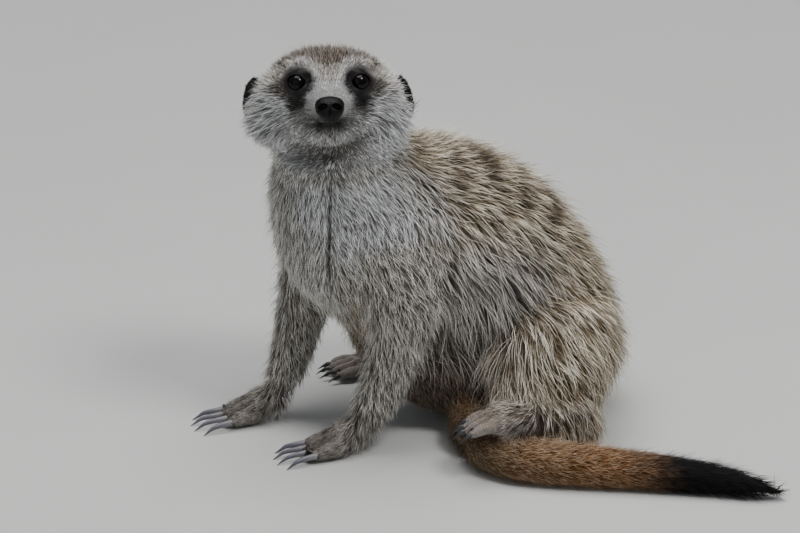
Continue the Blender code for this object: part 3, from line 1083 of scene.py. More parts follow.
        # Speckled grizzle and painted shade on the limbs and feet, and darker towards the rear.
        dusk_and_painted_shade = legs * (0.30 + 0.42 * fine) + on_feet * (0.18 + 0.34 * fine) + rear * (0.36 + 0.45 * fine)
        # The underside: dark belly skin and painted shadow under the flank's fringe.
        dusk_and_painted_shade = dusk_and_painted_shade + 0.90 * low
        trunk = self.over(parts, "belly", "rump", "thigh", "chest", "upper_arm")
        grizzle = trunk * eased(fine, 0.05, 0.45) * 0.25
        # Painted shadow under the chin.
        return np.maximum.reduce((dusk_and_painted_shade, SHADOW_UNDER_CHIN.over(where.head) * 0.70, grizzle))

    def at(self, points: np.ndarray, parts: np.ndarray) -> dict[str, np.ndarray]:
        """The marks at the points.

        Args:
            points: Places in metres.
            parts: For each point its share in each region, in the order of STEMS.

        Returns:
            Each mark's strength, from 0 to 1.
        """
        head = self.axes.seen(points)
        where = Places(points, parts, head, clouds(points, 90.0), clouds(points, 300.0, 7.0))
        on_head = self.over(parts, "head")
        on_feet = self.over(parts, "hind_foot", "forepaw")
        hind_feet, heel = self.over(parts, "hind_foot"), self.heel(points)
        warm = self.over(parts, "thigh", "rump", "shank", "tail") * 0.7 + hind_feet * heel * 0.7
        crown, streak = self.crown(where)
        bars = self.back(where)
        black, brown = self.face(head, where.fine)
        rusty, tip, ridge = self.tail(where)
        ears = self.over(parts, "ear") * 1.2
        black = np.clip(np.maximum.reduce((black * on_head, tip, self.parting(where), ears)), 0, 1)
        low = self.underside(points, parts)
        covered = np.maximum(bars * 1.05, crown * 0.85)
        # Fewer pale tips on the underside, for its dark skin and as painted shadow under the flank's fringe.
        tipped = 0.97 - 0.6 * self.over(parts, "tail") - 0.92 * covered - 0.35 * on_feet - 0.75 * low
        tipped = tipped + 0.15 * where.fine
        # Painted shade in the grooves between the toes, laid on as brown hair.
        grooves = np.maximum.reduce([foot.groove(points, 2.0, 14.0) for foot in self.feet.values()])
        marks = {
            "pale": self.pale(where),
            "warm": warm + 0.15 * where.wander * (1 - on_head),
            "rusty": rusty,
            "bare": hind_feet * (1 - heel) * 0.6,
            # The brown mark: the back's bars, the crown and its streak, the face's brown, the tail's ridge,
            # and painted shade in the toe grooves, on the limbs, the underside and the chin.
            "bars": np.maximum.reduce((
                bars, crown * 1.12 + streak, brown * on_head, grooves * on_feet * 0.85, ridge,
                self.dusk_and_painted_shade(where, low))),
            "tipped": np.clip(tipped, 0, 1) * (1 - black),
            "black": black,
        }
        return {name: np.clip(values, 0, 1) for name, values in marks.items()}

    def beside_parting(self, head: np.ndarray, height: np.ndarray) -> np.ndarray:
        """How far to the side of the throat's parting each point lies, in millimetres."""
        return head[:, 0] - 0.7 + 0.02 * (150 - height)

    def heel(self, points: np.ndarray) -> np.ndarray:
        """The hind feet's heels, where the thigh's long hair hangs over them.

        Args:
            points: Places in metres.

        Returns:
            1 on a heel, 0 elsewhere.
        """
        left = eased(self.feet["hind_left"].behind(points), 26, 34) * (points[:, 0] > -0.02)
        right = eased(self.feet["hind_right"].behind(points), 36, 46) * (points[:, 0] <= -0.02)
        return left + right

    def underside(self, points: np.ndarray, parts: np.ndarray) -> np.ndarray:
        """The thinly haired lower belly, below the flank's fringe.

        Args:
            points: Places in metres.
            parts: Each point's share in each region.

        Returns:
            1 on the lower belly, 0 elsewhere.
        """
        share = self.over(parts, "belly", "chest") + 0.6 * self.over(parts, "rump")
        return share * eased(points[:, 2], 0.050, 0.036) * eased(points[:, 1], 0.055, 0.035)

    def parted(self, points: np.ndarray) -> np.ndarray:
        """The line down the throat where the hair parts.

        Args:
            points: Places in metres.

        Returns:
            1 on the line, 0 elsewhere.
        """
        head = self.axes.seen(points)
        side = self.beside_parting(head, points[:, 2] / MM)
        line = eased(np.abs(side), 3.4, 0.6) * (head[:, 1] > -30) * eased(points[:, 2], 0.078, 0.09)
        return line * (points[:, 2] < 0.150) * (points[:, 1] < -0.03)


@dataclass
class Hide:
    """One skin under the whole coat, and how the coat grows on it.

    Attributes:
        nodes: The CAD nodes.
        axes: The head's axes.
        closing: How far the flesh swells to close its parting cuts, in millimetres.
        lid: Radius of the mound that fills each eye's socket, in millimetres.
        voxel: Grain of the fused surface, in millimetres.
        rounds: Smoothing of the fused surface.
        depth_share: The skin's depth under the tips, as a share of the standing hair.
        toe_groove: Depth of the grooves between the toes, in millimetres.
        faces: How many triangles the skin keeps.
        steps: Steps in which the skin is drawn in.
        region_blend: Rounds that blend the regions' shares at their borders.
        growth_blend: Rounds that blend their hair.
        lie_blend: Rounds that blend its lie, and how often that is done over.
        points: Places of the skin's points, in metres.
        triangles: Rows of point numbers.
        normals: The normal at each point.
        web: Which points are joined.
        length: The hair's length at each point, in millimetres.
        width: A tuft's width at each point, in millimetres.
        lift: How much the hair stands off the skin at each point.
        clump: How much it gathers into locks at each point.
        lie: Which way it lies at each point, along the skin.
        parts: Each point's share in each region, in the order of STEMS.
        markings: The coat's pattern and its painted shade.
    """

    nodes: dict[str, bpy.types.Object]
    axes: HeadAxes
    closing: float = 0.36
    lid: float = 6.5
    voxel: float = 0.95
    rounds: int = 9
    depth_share: float = 0.27
    toe_groove: float = 3.0
    faces: int = 190_000
    steps: int = 5
    region_blend: int = 16
    growth_blend: int = 14
    lie_blend: int = 8
    points: np.ndarray = field(init=False)
    triangles: np.ndarray = field(init=False)
    normals: np.ndarray = field(init=False)
    web: Web = field(init=False)
    length: np.ndarray = field(init=False)
    width: np.ndarray = field(init=False)
    lift: np.ndarray = field(init=False)
    clump: np.ndarray = field(init=False)
    lie: np.ndarray = field(init=False)
    parts: np.ndarray = field(init=False)
    markings: Markings = field(init=False)

    def flesh(self) -> list[str]:
        """The CAD nodes that the skin stands for."""
        return sorted(name for name in self.nodes if not name.startswith(APART))

    def fused(self) -> bpy.types.Mesh:
        """Fuse all the flesh and close its parting cuts.

        Returns:
            One surface, with closed hollows still inside it.
        """
        bm = bmesh.new()
        for name in self.flesh():
            one = bmesh.new()
            one.from_mesh(self.nodes[name].data)
            bmesh.ops.remove_doubles(one, verts=one.verts, dist=1e-6)
            one.normal_update()
            for vertex in one.verts:
                vertex.co += vertex.normal * self.closing * MM
            swollen = bpy.data.meshes.new("swollen")
            one.to_mesh(swollen)
            one.free()
            bm.from_mesh(swollen)
        for side in SIDES:
            mound = Matrix.Translation(Vector(middle(f"eye_{side}"))) @ Matrix.Scale(self.lid * MM, 4)
            bmesh.ops.create_uvsphere(bm, u_segments=32, v_segments=20, radius=1.0, matrix=mound)
        joined = bpy.data.meshes.new("joined")
        bm.to_mesh(joined)
        bm.free()
        return reworked("fusing", joined, "REMESH", mode="VOXEL", voxel_size=self.voxel * MM)

    def outer(self, points: np.ndarray, triangles: np.ndarray) -> tuple[np.ndarray, np.ndarray]:
        """Drop the closed hollows inside and keep the biggest surface.

        Args:
            points: Places of the points.
            triangles: Rows of point numbers.

        Returns:
            The places and the triangles that are kept.
        """
        label = np.arange(len(points))
        changed = True
        while changed:
            lowest = label[triangles].min(axis=1)
            update = label.copy()
            for corner in range(3):
                np.minimum.at(update, triangles[:, corner], lowest)
            update = update[update]
            changed = bool((update != label).any())
            label = update
        kept = label == np.bincount(label).argmax()
        number = np.cumsum(kept) - 1
        return points[kept], number[triangles[kept[triangles[:, 0]]]]

    def make(self) -> None:
        """Work out the skin's shape and everything that grows on it."""
        fused = self.fused()
        self.points, self.triangles = self.outer(points_of(fused), triangles_of(fused))
        self.web = Web(self.triangles, len(self.points))
        self.points = self.web.spread(self.points, self.rounds)
        self.normals = normals_of(self.points, self.triangles)
        pairs = [(foot, side) for foot in ("fore", "hind") for side in SIDES]
        feet = {f"{foot}_{side}": Foot.of(self.nodes, foot, side) for foot, side in pairs}
        self.markings = Markings(self.axes, feet)
        regions = self.regions()
        owner = np.array([STEMS.index(stem(name)) for name in self.flesh()])
        self.parts = self.web.spread(np.eye(len(STEMS))[owner[regions]], self.region_blend)
        self.growth(regions)
        self.lie_of_coat(regions)
        self.sink()
        self.carve()

    def regions(self) -> np.ndarray:
        """Find the flesh node that lies nearest to each point.

        Returns:
            Each node's number in ``flesh``.
        """
        corners, faces, owner = [], [], []
        for number, name in enumerate(self.flesh()):
            mesh = self.nodes[name].data
            shift = sum(len(part) for part in corners)
            corners.append(points_of(mesh))
            triangles = triangles_of(mesh) + shift
            faces.append(triangles)
            owner += [number] * len(triangles)
        tree = BVHTree.FromPolygons(np.vstack(corners).tolist(), np.vstack(faces).tolist())
        return np.array([owner[tree.find_nearest(point)[2]] for point in self.points.tolist()])

    def growth(self, regions: np.ndarray) -> None:
        """Work out the length, width, lift and clumping of the hair at each point.

        Args:
            regions: The number of the flesh node that each point belongs to.
        """
        pelts = [PELTS[stem(name)] for name in self.flesh()]
        table = np.array([(pelt.length, pelt.width, pelt.lift, pelt.clump) for pelt in pelts])
        spread = self.web.spread(table[regions], self.growth_blend)
        self.length, self.width, self.lift, self.clump = spread.T.copy()
        head = self.axes.seen(self.points)
        half = folded(head)
        on_head = self.web.spread(np.isin(regions, [self.flesh().index("head")]).astype(float), 6)

        def settle(share: np.ndarray, length: float, width: float, lift: float) -> None:
            """Move the growth towards the given one.

            Args:
                share: How far, from 0 to 1.
                length: Length in millimetres.
                width: Width in millimetres.
                lift: How much it stands off the skin.
            """
            self.length += (length - self.length) * share
            self.width += (width - self.width) * share
            self.lift += (lift - self.lift) * share

        crown = eased(head[:, 2], 7, 14) * on_head
        settle(crown, 6.2, 0.25, 1.7)
        for patch, length, width, lift in HEAD_GROWTH.values():
            settle(patch.over(half) * on_head, length, width, lift)
        settle(TAIL_TUFT.over(self.points), 9.0, 0.30, 0.8)
        settle(self.markings.underside(self.points, self.parts), 5.0, 0.27, 0.85)
        fringe = LEFT_FRINGE.over(self.points) + RIGHT_FRINGE.over(self.points)
        settle(np.clip(fringe, 0, 1) * eased(self.length, 9, 12), 25.0, 0.34, 1.15)
        settle(eased(head[:, 1], -14, -32) * on_head, 8.0, 0.27, 1.15)
        hind_feet = self.markings.over(self.parts, "hind_foot")
        forepaws = self.markings.over(self.parts, "forepaw")
        on_feet = self.markings.over(self.parts, "hind_foot", "forepaw")
        heel = self.markings.heel(self.points)
        settle(hind_feet * heel, 15.0, 0.32, 1.1)
        for name, foot in self.markings.feet.items():
            behind, mine = foot.behind(self.points), foot.own(self.points)
            fore = name.startswith("fore")
            settle(eased(behind, 12, 6) * on_feet * mine, 3.0 if fore else 1.9, 0.19, 1.0)
            if fore:
                settle(eased(behind, 11, 22) * forepaws * mine, 10.5, 0.25, 2.0)
            else:
                settle(eased(behind, 12, 20) * hind_feet * mine * (1 - heel), 8.0, 0.25, 1.5)
        settle(self.markings.parted(self.points), 4.5, 0.24, 0.8)
        settle(NAPE.over(self.points) * (1 - on_head), 12.0, 0.28, 1.55)

    def lie_of_coat(self, regions: np.ndarray) -> None:
        """Work out which way the hair lies at each point, along the skin.

        Args:
            regions: The number of the flesh node that each point belongs to.
        """
        names = self.flesh()
        toward = np.array([PELTS[stem(name)].toward for name in names], dtype=float)
        toward[:, 0] *= [-1 if name.endswith("right") else 1 for name in names]
        toward = toward[regions]
        head = self.axes.seen(self.points)
        on_head = regions == names.index("head")
        away = units(head - np.array((0, 30, -9)))
        cheek = CHEEK_FAN.over(folded(head))
        fan = np.column_stack((np.sign(head[:, 0]) * 0.25, -0.1 + 0 * cheek, -0.45 + 0 * cheek))
        away += cheek[:, None] * fan
        toward[on_head] = self.axes.aimed(away)[on_head]
        way = np.array(TAIL_WAY, dtype=float) * MM
        for number, name in enumerate(names):
            if name.startswith("tail"):
                mine = regions == number
                gaps = np.linalg.norm(self.points[mine][:, None, :2] - way[None], axis=2)
                near = np.clip(gaps.argmin(axis=1), 1, len(way) - 2)
                toward[mine, :2] = way[near + 1] - way[near - 1]
                toward[mine, 2] = 0
        toward = units(toward)
        side = (self.points - self.axes.origin) @ self.axes.turn[0] / MM
        throat = eased(np.abs(side), 14, 2) * (head[:, 1] > -30) * (self.points[:, 2] < 0.145)
        toward += (throat * np.sign(side))[:, None] * self.axes.turn[0] * 0.6
        heel = (self.markings.over(self.parts, "hind_foot") * self.markings.heel(self.points))[:, None]
        toward += (np.array((0.25, 0.35, -1.0)) - toward) * heel
        low = self.markings.over(self.parts, "belly") * eased(self.points[:, 2], 0.085, 0.055)
        toward += (np.array((0.0, 0.25, -1.0)) - toward) * low[:, None]
        rear = self.markings.over(self.parts, "forepaw")
        rear = rear * np.maximum.reduce([
            eased(foot.behind(self.points), 14, 24) * foot.own(self.points)
            for name, foot in self.markings.feet.items() if name.startswith("fore")])
        toward += (np.array((0.0, 0.15, -1.0)) - toward) * rear[:, None]
        for _ in range(self.lie_blend):
            toward -= self.normals * np.sum(toward * self.normals, axis=1)[:, None]
            toward = self.web.spread(units(toward), self.lie_blend)
        toward -= self.normals * np.sum(toward * self.normals, axis=1)[:, None]
        self.lie = units(toward)

    def sink(self) -> None:
        """Draw the skin in from the tips of the coat to its roots."""
        depth = self.length * self.lift * self.depth_share + self.closing
        for _ in range(self.steps):
            self.points -= self.normals * (depth / self.steps * MM)[:, None]
            self.points = self.web.spread(self.points, 1, 0.3)
            self.normals = normals_of(self.points, self.triangles)

    def carve(self) -> None:
        """Cut the mouth, seat the skin behind the eyes, and part the toes and the throat's hair."""
        self.cut_mouth()
        for side in SIDES:
            self.seat_eye(Eye(self.axes, side))
        on_feet = self.markings.over(self.parts, "hind_foot", "forepaw")
        for foot in self.markings.feet.values():
            cut = foot.groove(self.points, 2.3, 15.0) * on_feet * (self.points[:, 2] > 0.002)
            self.points -= self.normals * (cut * self.toe_groove * MM)[:, None]
        cut = self.markings.parted(self.points)
        self.points -= self.normals * (cut * 0.8 * MM)[:, None]
        self.normals = normals_of(self.points, self.triangles)

    def cut_mouth(self) -> None:
        """Cut the mouth's line into the muzzle."""
        head = self.axes.seen(self.points)
        line = -18.2 - 0.012 * head[:, 0] ** 2 + 0.10 * (20 - head[:, 1])
        near = eased(np.abs(head[:, 2] - line), 1.6, 0.0) * eased(head[:, 1], 2, 8)
        near *= eased(np.abs(head[:, 0]), 12, 9)
        self.points -= self.normals * (near * 1.3 * MM)[:, None]

    def seat_eye(self, eye: Eye) -> None:
        """Draw the skin behind an eyeball within the lids' opening.

        Args:
            eye: The eye.
        """
        local = (self.axes.seen(self.points) - eye.centre()) @ eye.aim().T
        reach = np.hypot(local[:, 0] / eye.opening[0], local[:, 2] / eye.opening[1])
        inside = eased(reach, 1.10, 0.92) * (local[:, 1] > 0)
        away = np.linalg.norm(local, axis=1)
        target = away + (eye.radius * 0.84 - away) * inside
        sunk = local * (target / np.maximum(away, 1e-6))[:, None]
        near = (inside > 0) & (away < 9)
        moved = self.axes.back(sunk @ eye.aim() + eye.centre())
        self.points[near] = moved[near]

    def mesh(self) -> bpy.types.Mesh:
        """Make the skin's mesh, thinned to its face count.

        Returns:
            The mesh, with its marks.
        """
        mesh = mesh_of("skin", self.points, self.triangles)
        marks = self.markings.at(self.points, self.parts)
        for name in MARKS:
            keep_numbers(mesh, name, marks[name])
        keep_numbers(mesh, "airy", airiness(self.length))
        return reworked("thinning", mesh, "DECIMATE", ratio=self.faces / len(self.triangles))


# --------------------------------------------------------------------------
# Coat
# --------------------------------------------------------------------------


@dataclass
class Coat:
    """The hair, in layers of closed, tapering tufts that each cover the whole animal.

    Attributes:
        hide: The skin that it grows on.
        axes: The head's axes.
        layers: How many pieces the tufts are shared out over.
        cover: How often the tufts cover the skin.
        densest: Most tufts to the square millimetre.
        map_patch: A tuft's size on the map.
        sunk: How deep the roots start in the skin, in millimetres.
        lock_size: A lock's width in tufts.
        gather: How far a lock's tips draw together.
        guards: Share of longer, thinner, paler single hairs.
        droop: How far long hair hangs.
        sway: How far the lie wanders from place to place, in radians.
        jitter: How far the marks' edges are ragged along the hair, in millimetres.
        eye_place: The middle of the hairless opening round the left eye, in the head's axes.
        eye_clear: Half size of that opening, in millimetres.
        nose_place: The middle of the bare nose, in the head's axes.
        nose_clear: Half sizes of the bare nose.
        random: The seeded numbers.
    """

    hide: Hide
    axes: HeadAxes
    layers: int = 8
    cover: float = 1.72
    densest: float = 8.0
    map_patch: float = 0.003
    sunk: float = 0.5
    lock_size: float = 1.9
    gather: float = 0.58
    guards: float = 0.15
    droop: float = 1.0
    sway: float = 0.50
    jitter: float = 1.1
    eye_place: tuple[float, float, float] = (13.7, 0.8, 0.0)
    eye_clear: float = 4.4
    nose_place: tuple[float, float, float] = (0, 27.5, -11.8)
    nose_clear: tuple[float, float, float] = (6.6, 4.5, 5.4)
    random: np.random.Generator = field(init=False)

    def __post_init__(self) -> None:
        """Start the seeded numbers."""
        self.random = np.random.default_rng(SEED)

    def unwrapped(self) -> np.ndarray:
        """Unwrap the skin by its own shape.

        Returns:
            The places on the map of the corners of each triangle.
        """
        item = linked("unwrapping", mesh_of("unwrap", self.hide.points, self.hide.triangles))
        bpy.context.view_layer.objects.active = item
        item.select_set(True)
        bpy.ops.object.mode_set(mode="EDIT")
        bpy.ops.mesh.select_all(action="SELECT")
        bpy.ops.uv.smart_project(angle_limit=math.radians(70), island_margin=0.004)
        bpy.ops.object.mode_set(mode="OBJECT")
        found = np.empty(len(item.data.loops) * 2, dtype=np.float32)
        item.data.uv_layers.active.data.foreach_get("uv", found)
        bpy.data.objects.remove(item, do_unlink=True)
        return found.reshape(-1, 3, 2)

    def crowding(self, length: np.ndarray, width: np.ndarray) -> np.ndarray:
        """Tufts to the square millimetre, so that each place is covered as often."""
        return np.minimum(self.cover / (length * width * 0.5), self.densest)

    def roots(self) -> dict[str, np.ndarray]:
        """Scatter the roots over the skin and read off what grows there.

        Returns:
            What grows at each root, by name.
        """
        hide = self.hide
        corners = hide.points[hide.triangles]
        edges = corners[:, 1] - corners[:, 0], corners[:, 2] - corners[:, 0]
        area = np.linalg.norm(np.cross(*edges), axis=1) / 2
        wanted = self.crowding(hide.length, hide.width)[hide.triangles].mean(axis=1) * area / MM ** 2
        count = int(wanted.sum())
        face = self.random.choice(len(wanted), count, p=wanted / wanted.sum())
        share = self.random.dirichlet((1.0, 1.0, 1.0), count)

        def read(values: np.ndarray) -> np.ndarray:
            """The values at the roots."""
            chosen = values[hide.triangles[face]]
            return np.einsum("ij,ij...->i...", share, chosen)

        found = {"point": read(hide.points), "parts": read(hide.parts)}
        found["calm"] = read(hide.markings.parted(hide.points))
        found["normal"] = units(read(hide.normals))
        found["lie"] = units(read(hide.lie))
        for name in ("length", "width", "lift", "clump"):
            found[name] = read(getattr(hide, name))
        found["airy"] = airiness(found["length"])
        found["map"] = np.einsum("ij,ijk->ik", share, self.unwrapped()[face])
        return self.kept(found)

    def kept(self, found: dict[str, np.ndarray]) -> dict[str, np.ndarray]:
        """Leave out the roots over the eyes, the nose and the soles.

        Args:
            found: The roots.

        Returns:
            The roots that stay.
        """
        head = self.axes.seen(found["point"])
        half = folded(head)
        opening = (self.eye_clear, 9.0, self.eye_clear)
        eye = np.linalg.norm((half - self.eye_place) / opening, axis=1) < 1
        nose = np.linalg.norm((head - self.nose_place) / self.nose_clear, axis=1) < 1
        under = (found["point"][:, 2] < 0.0012) & (found["normal"][:, 2] < -0.5)
        good = ~(eye & (half[:, 1] > -4)) & ~nose & ~under
        return {name: values[good] for name, values in found.items()}

    def locks(self, found: dict[str, np.ndarray]) -> dict[str, np.ndarray]:
        """Gather the tufts into locks: each lock shares a lean and a tint.

        Args:
            found: The roots.

        Returns:
            For each root its pull to the lock's middle, lean, rise, tint, stretch and slimness.
        """
        points, count = found["point"], len(found["point"])
        order = self.random.permutation(count)
        size = self.lock_size * found["clump"] * np.clip(found["length"] / 12.0, 0.3, 1.2)
        chance = 1.0 / np.maximum(1.0, size ** 2 * self.crowding(found["length"], found["width"]))
        centres = order[self.random.random(count)[order] < chance[order]]
        tree = KDTree(len(centres))
        for number, centre in enumerate(centres.tolist()):
            tree.insert(points[centre], number)
        tree.balance()
        mine = np.array([tree.find(point)[1] for point in points.tolist()])
        lean = self.random.normal(0, 0.20, len(centres))[mine] + self.random.normal(0, 0.10, count)
        lean += self.sway * clouds(points, 58.0, 3.0) * eased(found["length"], 5, 10)
        lean *= 1.0 - 0.8 * found["calm"]
        rise = self.random.lognormal(0, 0.32, len(centres))[mine] * self.random.lognormal(0, 0.15, count)
        tint = self.random.normal(0.5, 0.25, len(centres))[mine] + self.random.normal(0, 0.13, count)
        tint = np.clip(tint, 0, 1)
        guard = self.random.random(count) < self.guards * eased(found["length"], 2.5, 6.0)
        lean += np.where(guard, self.random.normal(0, 0.28, count), 0.0)
        stretch = self.random.uniform(0.7, 1.12, count) * np.where(guard, 1.35, 1.0)
        return {
            "pull": points[centres][mine] - points,
            "lean": lean,
            "rise": rise * np.where(guard, 1.6, 1.0),
            "tint": np.where(guard, np.maximum(tint, 0.75), tint),
            "stretch": stretch,
            "slim": np.where(guard, 0.65, 1.0),
        }

    def spines(self, found: dict[str, np.ndarray], lock: dict[str, np.ndarray], joints: int) -> np.ndarray:
        """The middle lines of the tufts.

        Args:
            found: The roots.
            lock: How each tuft leans.
            joints: How many stretches a tuft bends in.

        Returns:
            Places by tuft and joint, one more joint than stretches.
        """
        across = np.cross(found["normal"], found["lie"])
        lean = lock["lean"][:, None]
        ahead = units(found["lie"] * np.cos(lean) + across * np.sin(lean))
        length = found["length"] * lock["stretch"] * MM
        rise = np.clip(lock["rise"] * found["lift"], 0.4, 2.2)
        start, end = np.radians(30) * rise, np.radians(6) * rise
        place = found["point"] - found["normal"] * (self.sunk * MM)
        line = [place]
        for joint in range(joints):
            share = (joint + 0.5) / joints
            angle = (start + (end - start) * share)[:, None]
            step = ahead * np.cos(angle) + found["normal"] * np.sin(angle)
            fall = self.droop * share ** 1.5 * eased(found["length"], 12, 24)
            step = units(step - np.array((0, 0, 1)) * fall[:, None])
            place = place + step * (length / joints)[:, None]
            bend = ((joint + 1) / joints) ** 1.5 * self.gather * found["clump"][:, None]
            line.append(place + lock["pull"] * bend)
        line = np.stack(line, axis=1)
        line[:, 1:, 2] = np.maximum(line[:, 1:, 2], 0.0004)
        return line

    def shell(self, joints: int) -> np.ndarray:
        """The triangles of one closed three-sided tuft.

        Args:
            joints: How many stretches it bends in.

        Returns:
            Rows of point numbers: three to a joint from the root on, and the tip last.
        """
        shape = [(0, 2, 1)]
        for joint in range(joints - 1):
            base = joint * 3
            for one, other in ((0, 1), (1, 2), (2, 0)):
                shape.append((base + one, base + other, base + other + 3))
                shape.append((base + one, base + other + 3, base + one + 3))
        base, tip = (joints - 1) * 3, joints * 3
        shape += [(base, base + 1, tip), (base + 1, base + 2, tip), (base + 2, base, tip)]
        return np.array(shape)[:, ::-1]

    def tufts(
        self, found: dict[str, np.ndarray], lock: dict[str, np.ndarray], joints: int
    ) -> dict[str, np.ndarray]:
        """Closed three-sided tufts round their middle lines.

        Args:
            found: The roots.
            lock: How each tuft leans.
            joints: How many stretches a tuft bends in.

        Returns:
            Points, triangles, normals, map places of the corners, and numbers at the points.
        """
        count = len(found["point"])
        line = self.spines(found, lock, joints)
        along = units(line[:, -1] - line[:, 0])
        side = units(np.cross(along, found["normal"]))
        twist = self.random.normal(0, 0.35, count)[:, None]
        up = np.cross(side, along)
        side, up = side * np.cos(twist) + up * np.sin(twist), up * np.cos(twist) - side * np.sin(twist)
        corners = []
        for angle in (0.0, 1.0 / 3.0, 2.0 / 3.0):
            turn = math.tau * (angle + 0.25)
            corners.append(side * math.cos(turn) * 1.1 + up * math.sin(turn) * 0.5)
        fat = 1.0 - 0.35 * (np.arange(joints) / joints) ** 2
        points, normals, heights = [], [], []
        for joint in range(joints):
            half = (found["width"] * lock["slim"] * 0.5 * fat[joint] * MM)[:, None]
            for corner in corners:
                points.append(line[:, joint] + corner * half)
                normals.append(units(found["normal"] * 0.9 + units(corner) * 0.55))
                heights.append(np.full(count, joint / joints))
        points.append(line[:, -1])
        normals.append(units(found["normal"] * 0.9 + along * 0.3))
        heights.append(np.ones(count))
        size = joints * 3 + 1
        triangles = (np.arange(count)[:, None, None] * size + self.shell(joints)[None]).reshape(-1, 3)
        local = np.array([((number % 3) * 0.5, (number // 3) / joints) for number in range(size)])
        local[-1] = (0.5, 1.0)
        corner_map = found["map"][:, None, :] + (local[None] - 0.5) * self.map_patch
        slip = self.random.normal(0, self.jitter, count) * np.clip(found["length"] / 10, 0.1, 1) * MM
        slip = found["lie"] * slip[:, None]
        stations = (line + slip[:, None]).reshape(-1, 3)
        marks = self.hide.markings.at(stations, np.repeat(found["parts"], joints + 1, axis=0))
        shares = [3] * joints + [1]
        numbers = {name: np.repeat(marks[name].reshape(count, -1), shares, axis=1).ravel() for name in MARKS}
        numbers["airy"] = np.repeat(found["airy"], size)
        numbers["tint"] = np.repeat(lock["tint"], size)
        numbers["along"] = np.stack(heights, axis=1).ravel()
        return {
            "points": np.stack(points, axis=1).reshape(-1, 3),
            "normals": np.stack(normals, axis=1).reshape(-1, 3),
            "triangles": triangles,
            "map": corner_map.reshape(-1, 2),
            **numbers,
        }

    def layer(self, name: str, groups: list[dict[str, np.ndarray]]) -> bpy.types.Mesh:
        """One mesh of many tufts.

        Args:
            name: The mesh's name.
            groups: What ``tufts`` gave, by how often the tufts bend.

        Returns:
            The mesh, with its map and the numbers that its finish reads.
        """
        shift, triangles = 0, []
        for group in groups:
            triangles.append(group["triangles"] + shift)
            shift += len(group["points"])
        keys = [key for key in groups[0] if key != "triangles"]
        merged = {key: np.concatenate([group[key] for group in groups]) for key in keys}
        faces = np.vstack(triangles)
        mesh = mesh_of(name, merged["points"], faces)
        chart = mesh.uv_layers.new(name="OFBake")
        corners = np.clip(merged["map"][faces.ravel()], 0.0, 1.0)
        chart.data.foreach_set("uv", corners.astype(np.float32).ravel())
        for key in (*MARKS, "airy", "tint", "along"):
            keep_numbers(mesh, key, merged[key])
        mesh.normals_split_custom_set_from_vertices(merged["normals"].tolist())
        return mesh

    def build(self, material: bpy.types.Material) -> None:
        """Grow the whole coat.

        Args:
            material: The hair's finish.
        """
        found = self.roots()
        lock = self.locks(found)
        count = len(found["point"])
        joints = np.where(found["length"] < 4.0, 1, np.where(found["length"] < 12.0, 2, 3))
        layer_of = self.random.integers(0, self.layers, count)
        for layer in range(self.layers):
            groups = []
            for bends in (1, 2, 3):
                mine = (layer_of == layer) & (joints == bends)
                picked = {key: values[mine] for key, values in found.items()}
                leaning = {key: values[mine] for key, values in lock.items()}
                groups.append(self.tufts(picked, leaning, bends))
            name = f"coat_{layer + 1}"
            show(name, self.layer(name, groups), material)
        LOG.info("%d tufts in %d layers", count, self.layers)


# --------------------------------------------------------------------------
# Eyes, nose, claws, whiskers
# --------------------------------------------------------------------------


def grid_mesh(name: str, rings: np.ndarray, closed_ends: bool = True) -> bpy.types.Mesh:
    """A surface through rings of points, with both ends closed.

    Args:
        name: The mesh's name.
        rings: Places by ring and corner, in metres.
        closed_ends: Whether a fan closes the first and the last ring.

    Returns:
        The mesh.
    """
    count, sides, _ = rings.shape
    points = rings.reshape(-1, 3)
    faces = []
    for ring in range(count - 1):
        for corner in range(sides):
            following = (corner + 1) % sides
            one, two = ring * sides + corner, ring * sides + following
            faces.append((one, two, two + sides))
            faces.append((one, two + sides, one + sides))
    if closed_ends:
        points = np.vstack((points, rings[0].mean(axis=0), rings[-1].mean(axis=0)))
        start, end = len(points) - 2, len(points) - 1
        last = (count - 1) * sides
        for corner in range(sides):
            following = (corner + 1) % sides
            faces.append((following, corner, start))
            faces.append((last + corner, last + following, end))
    mesh = mesh_of(name, points, np.array(faces))
    bm = bmesh.new()
    bm.from_mesh(mesh)
    bmesh.ops.recalc_face_normals(bm, faces=bm.faces)
    bm.to_mesh(mesh)
    bm.free()
    return mesh


def sphere_rings(sides: int, count: int) -> np.ndarray:
    """A unit sphere as rings round its y axis, front ring first.

    Args:
        sides: Corners of a ring.
        count: How many rings.

    Returns:
        Places by ring and corner.
    """
    polar = np.linspace(0.02, math.pi - 0.02, count)[:, None]
    round_ = np.linspace(0, math.tau, sides, endpoint=False)[None]
    return np.stack((
        np.sin(polar) * np.cos(round_), np.cos(polar) + 0 * round_, np.sin(polar) * np.sin(round_)
    ), axis=2)


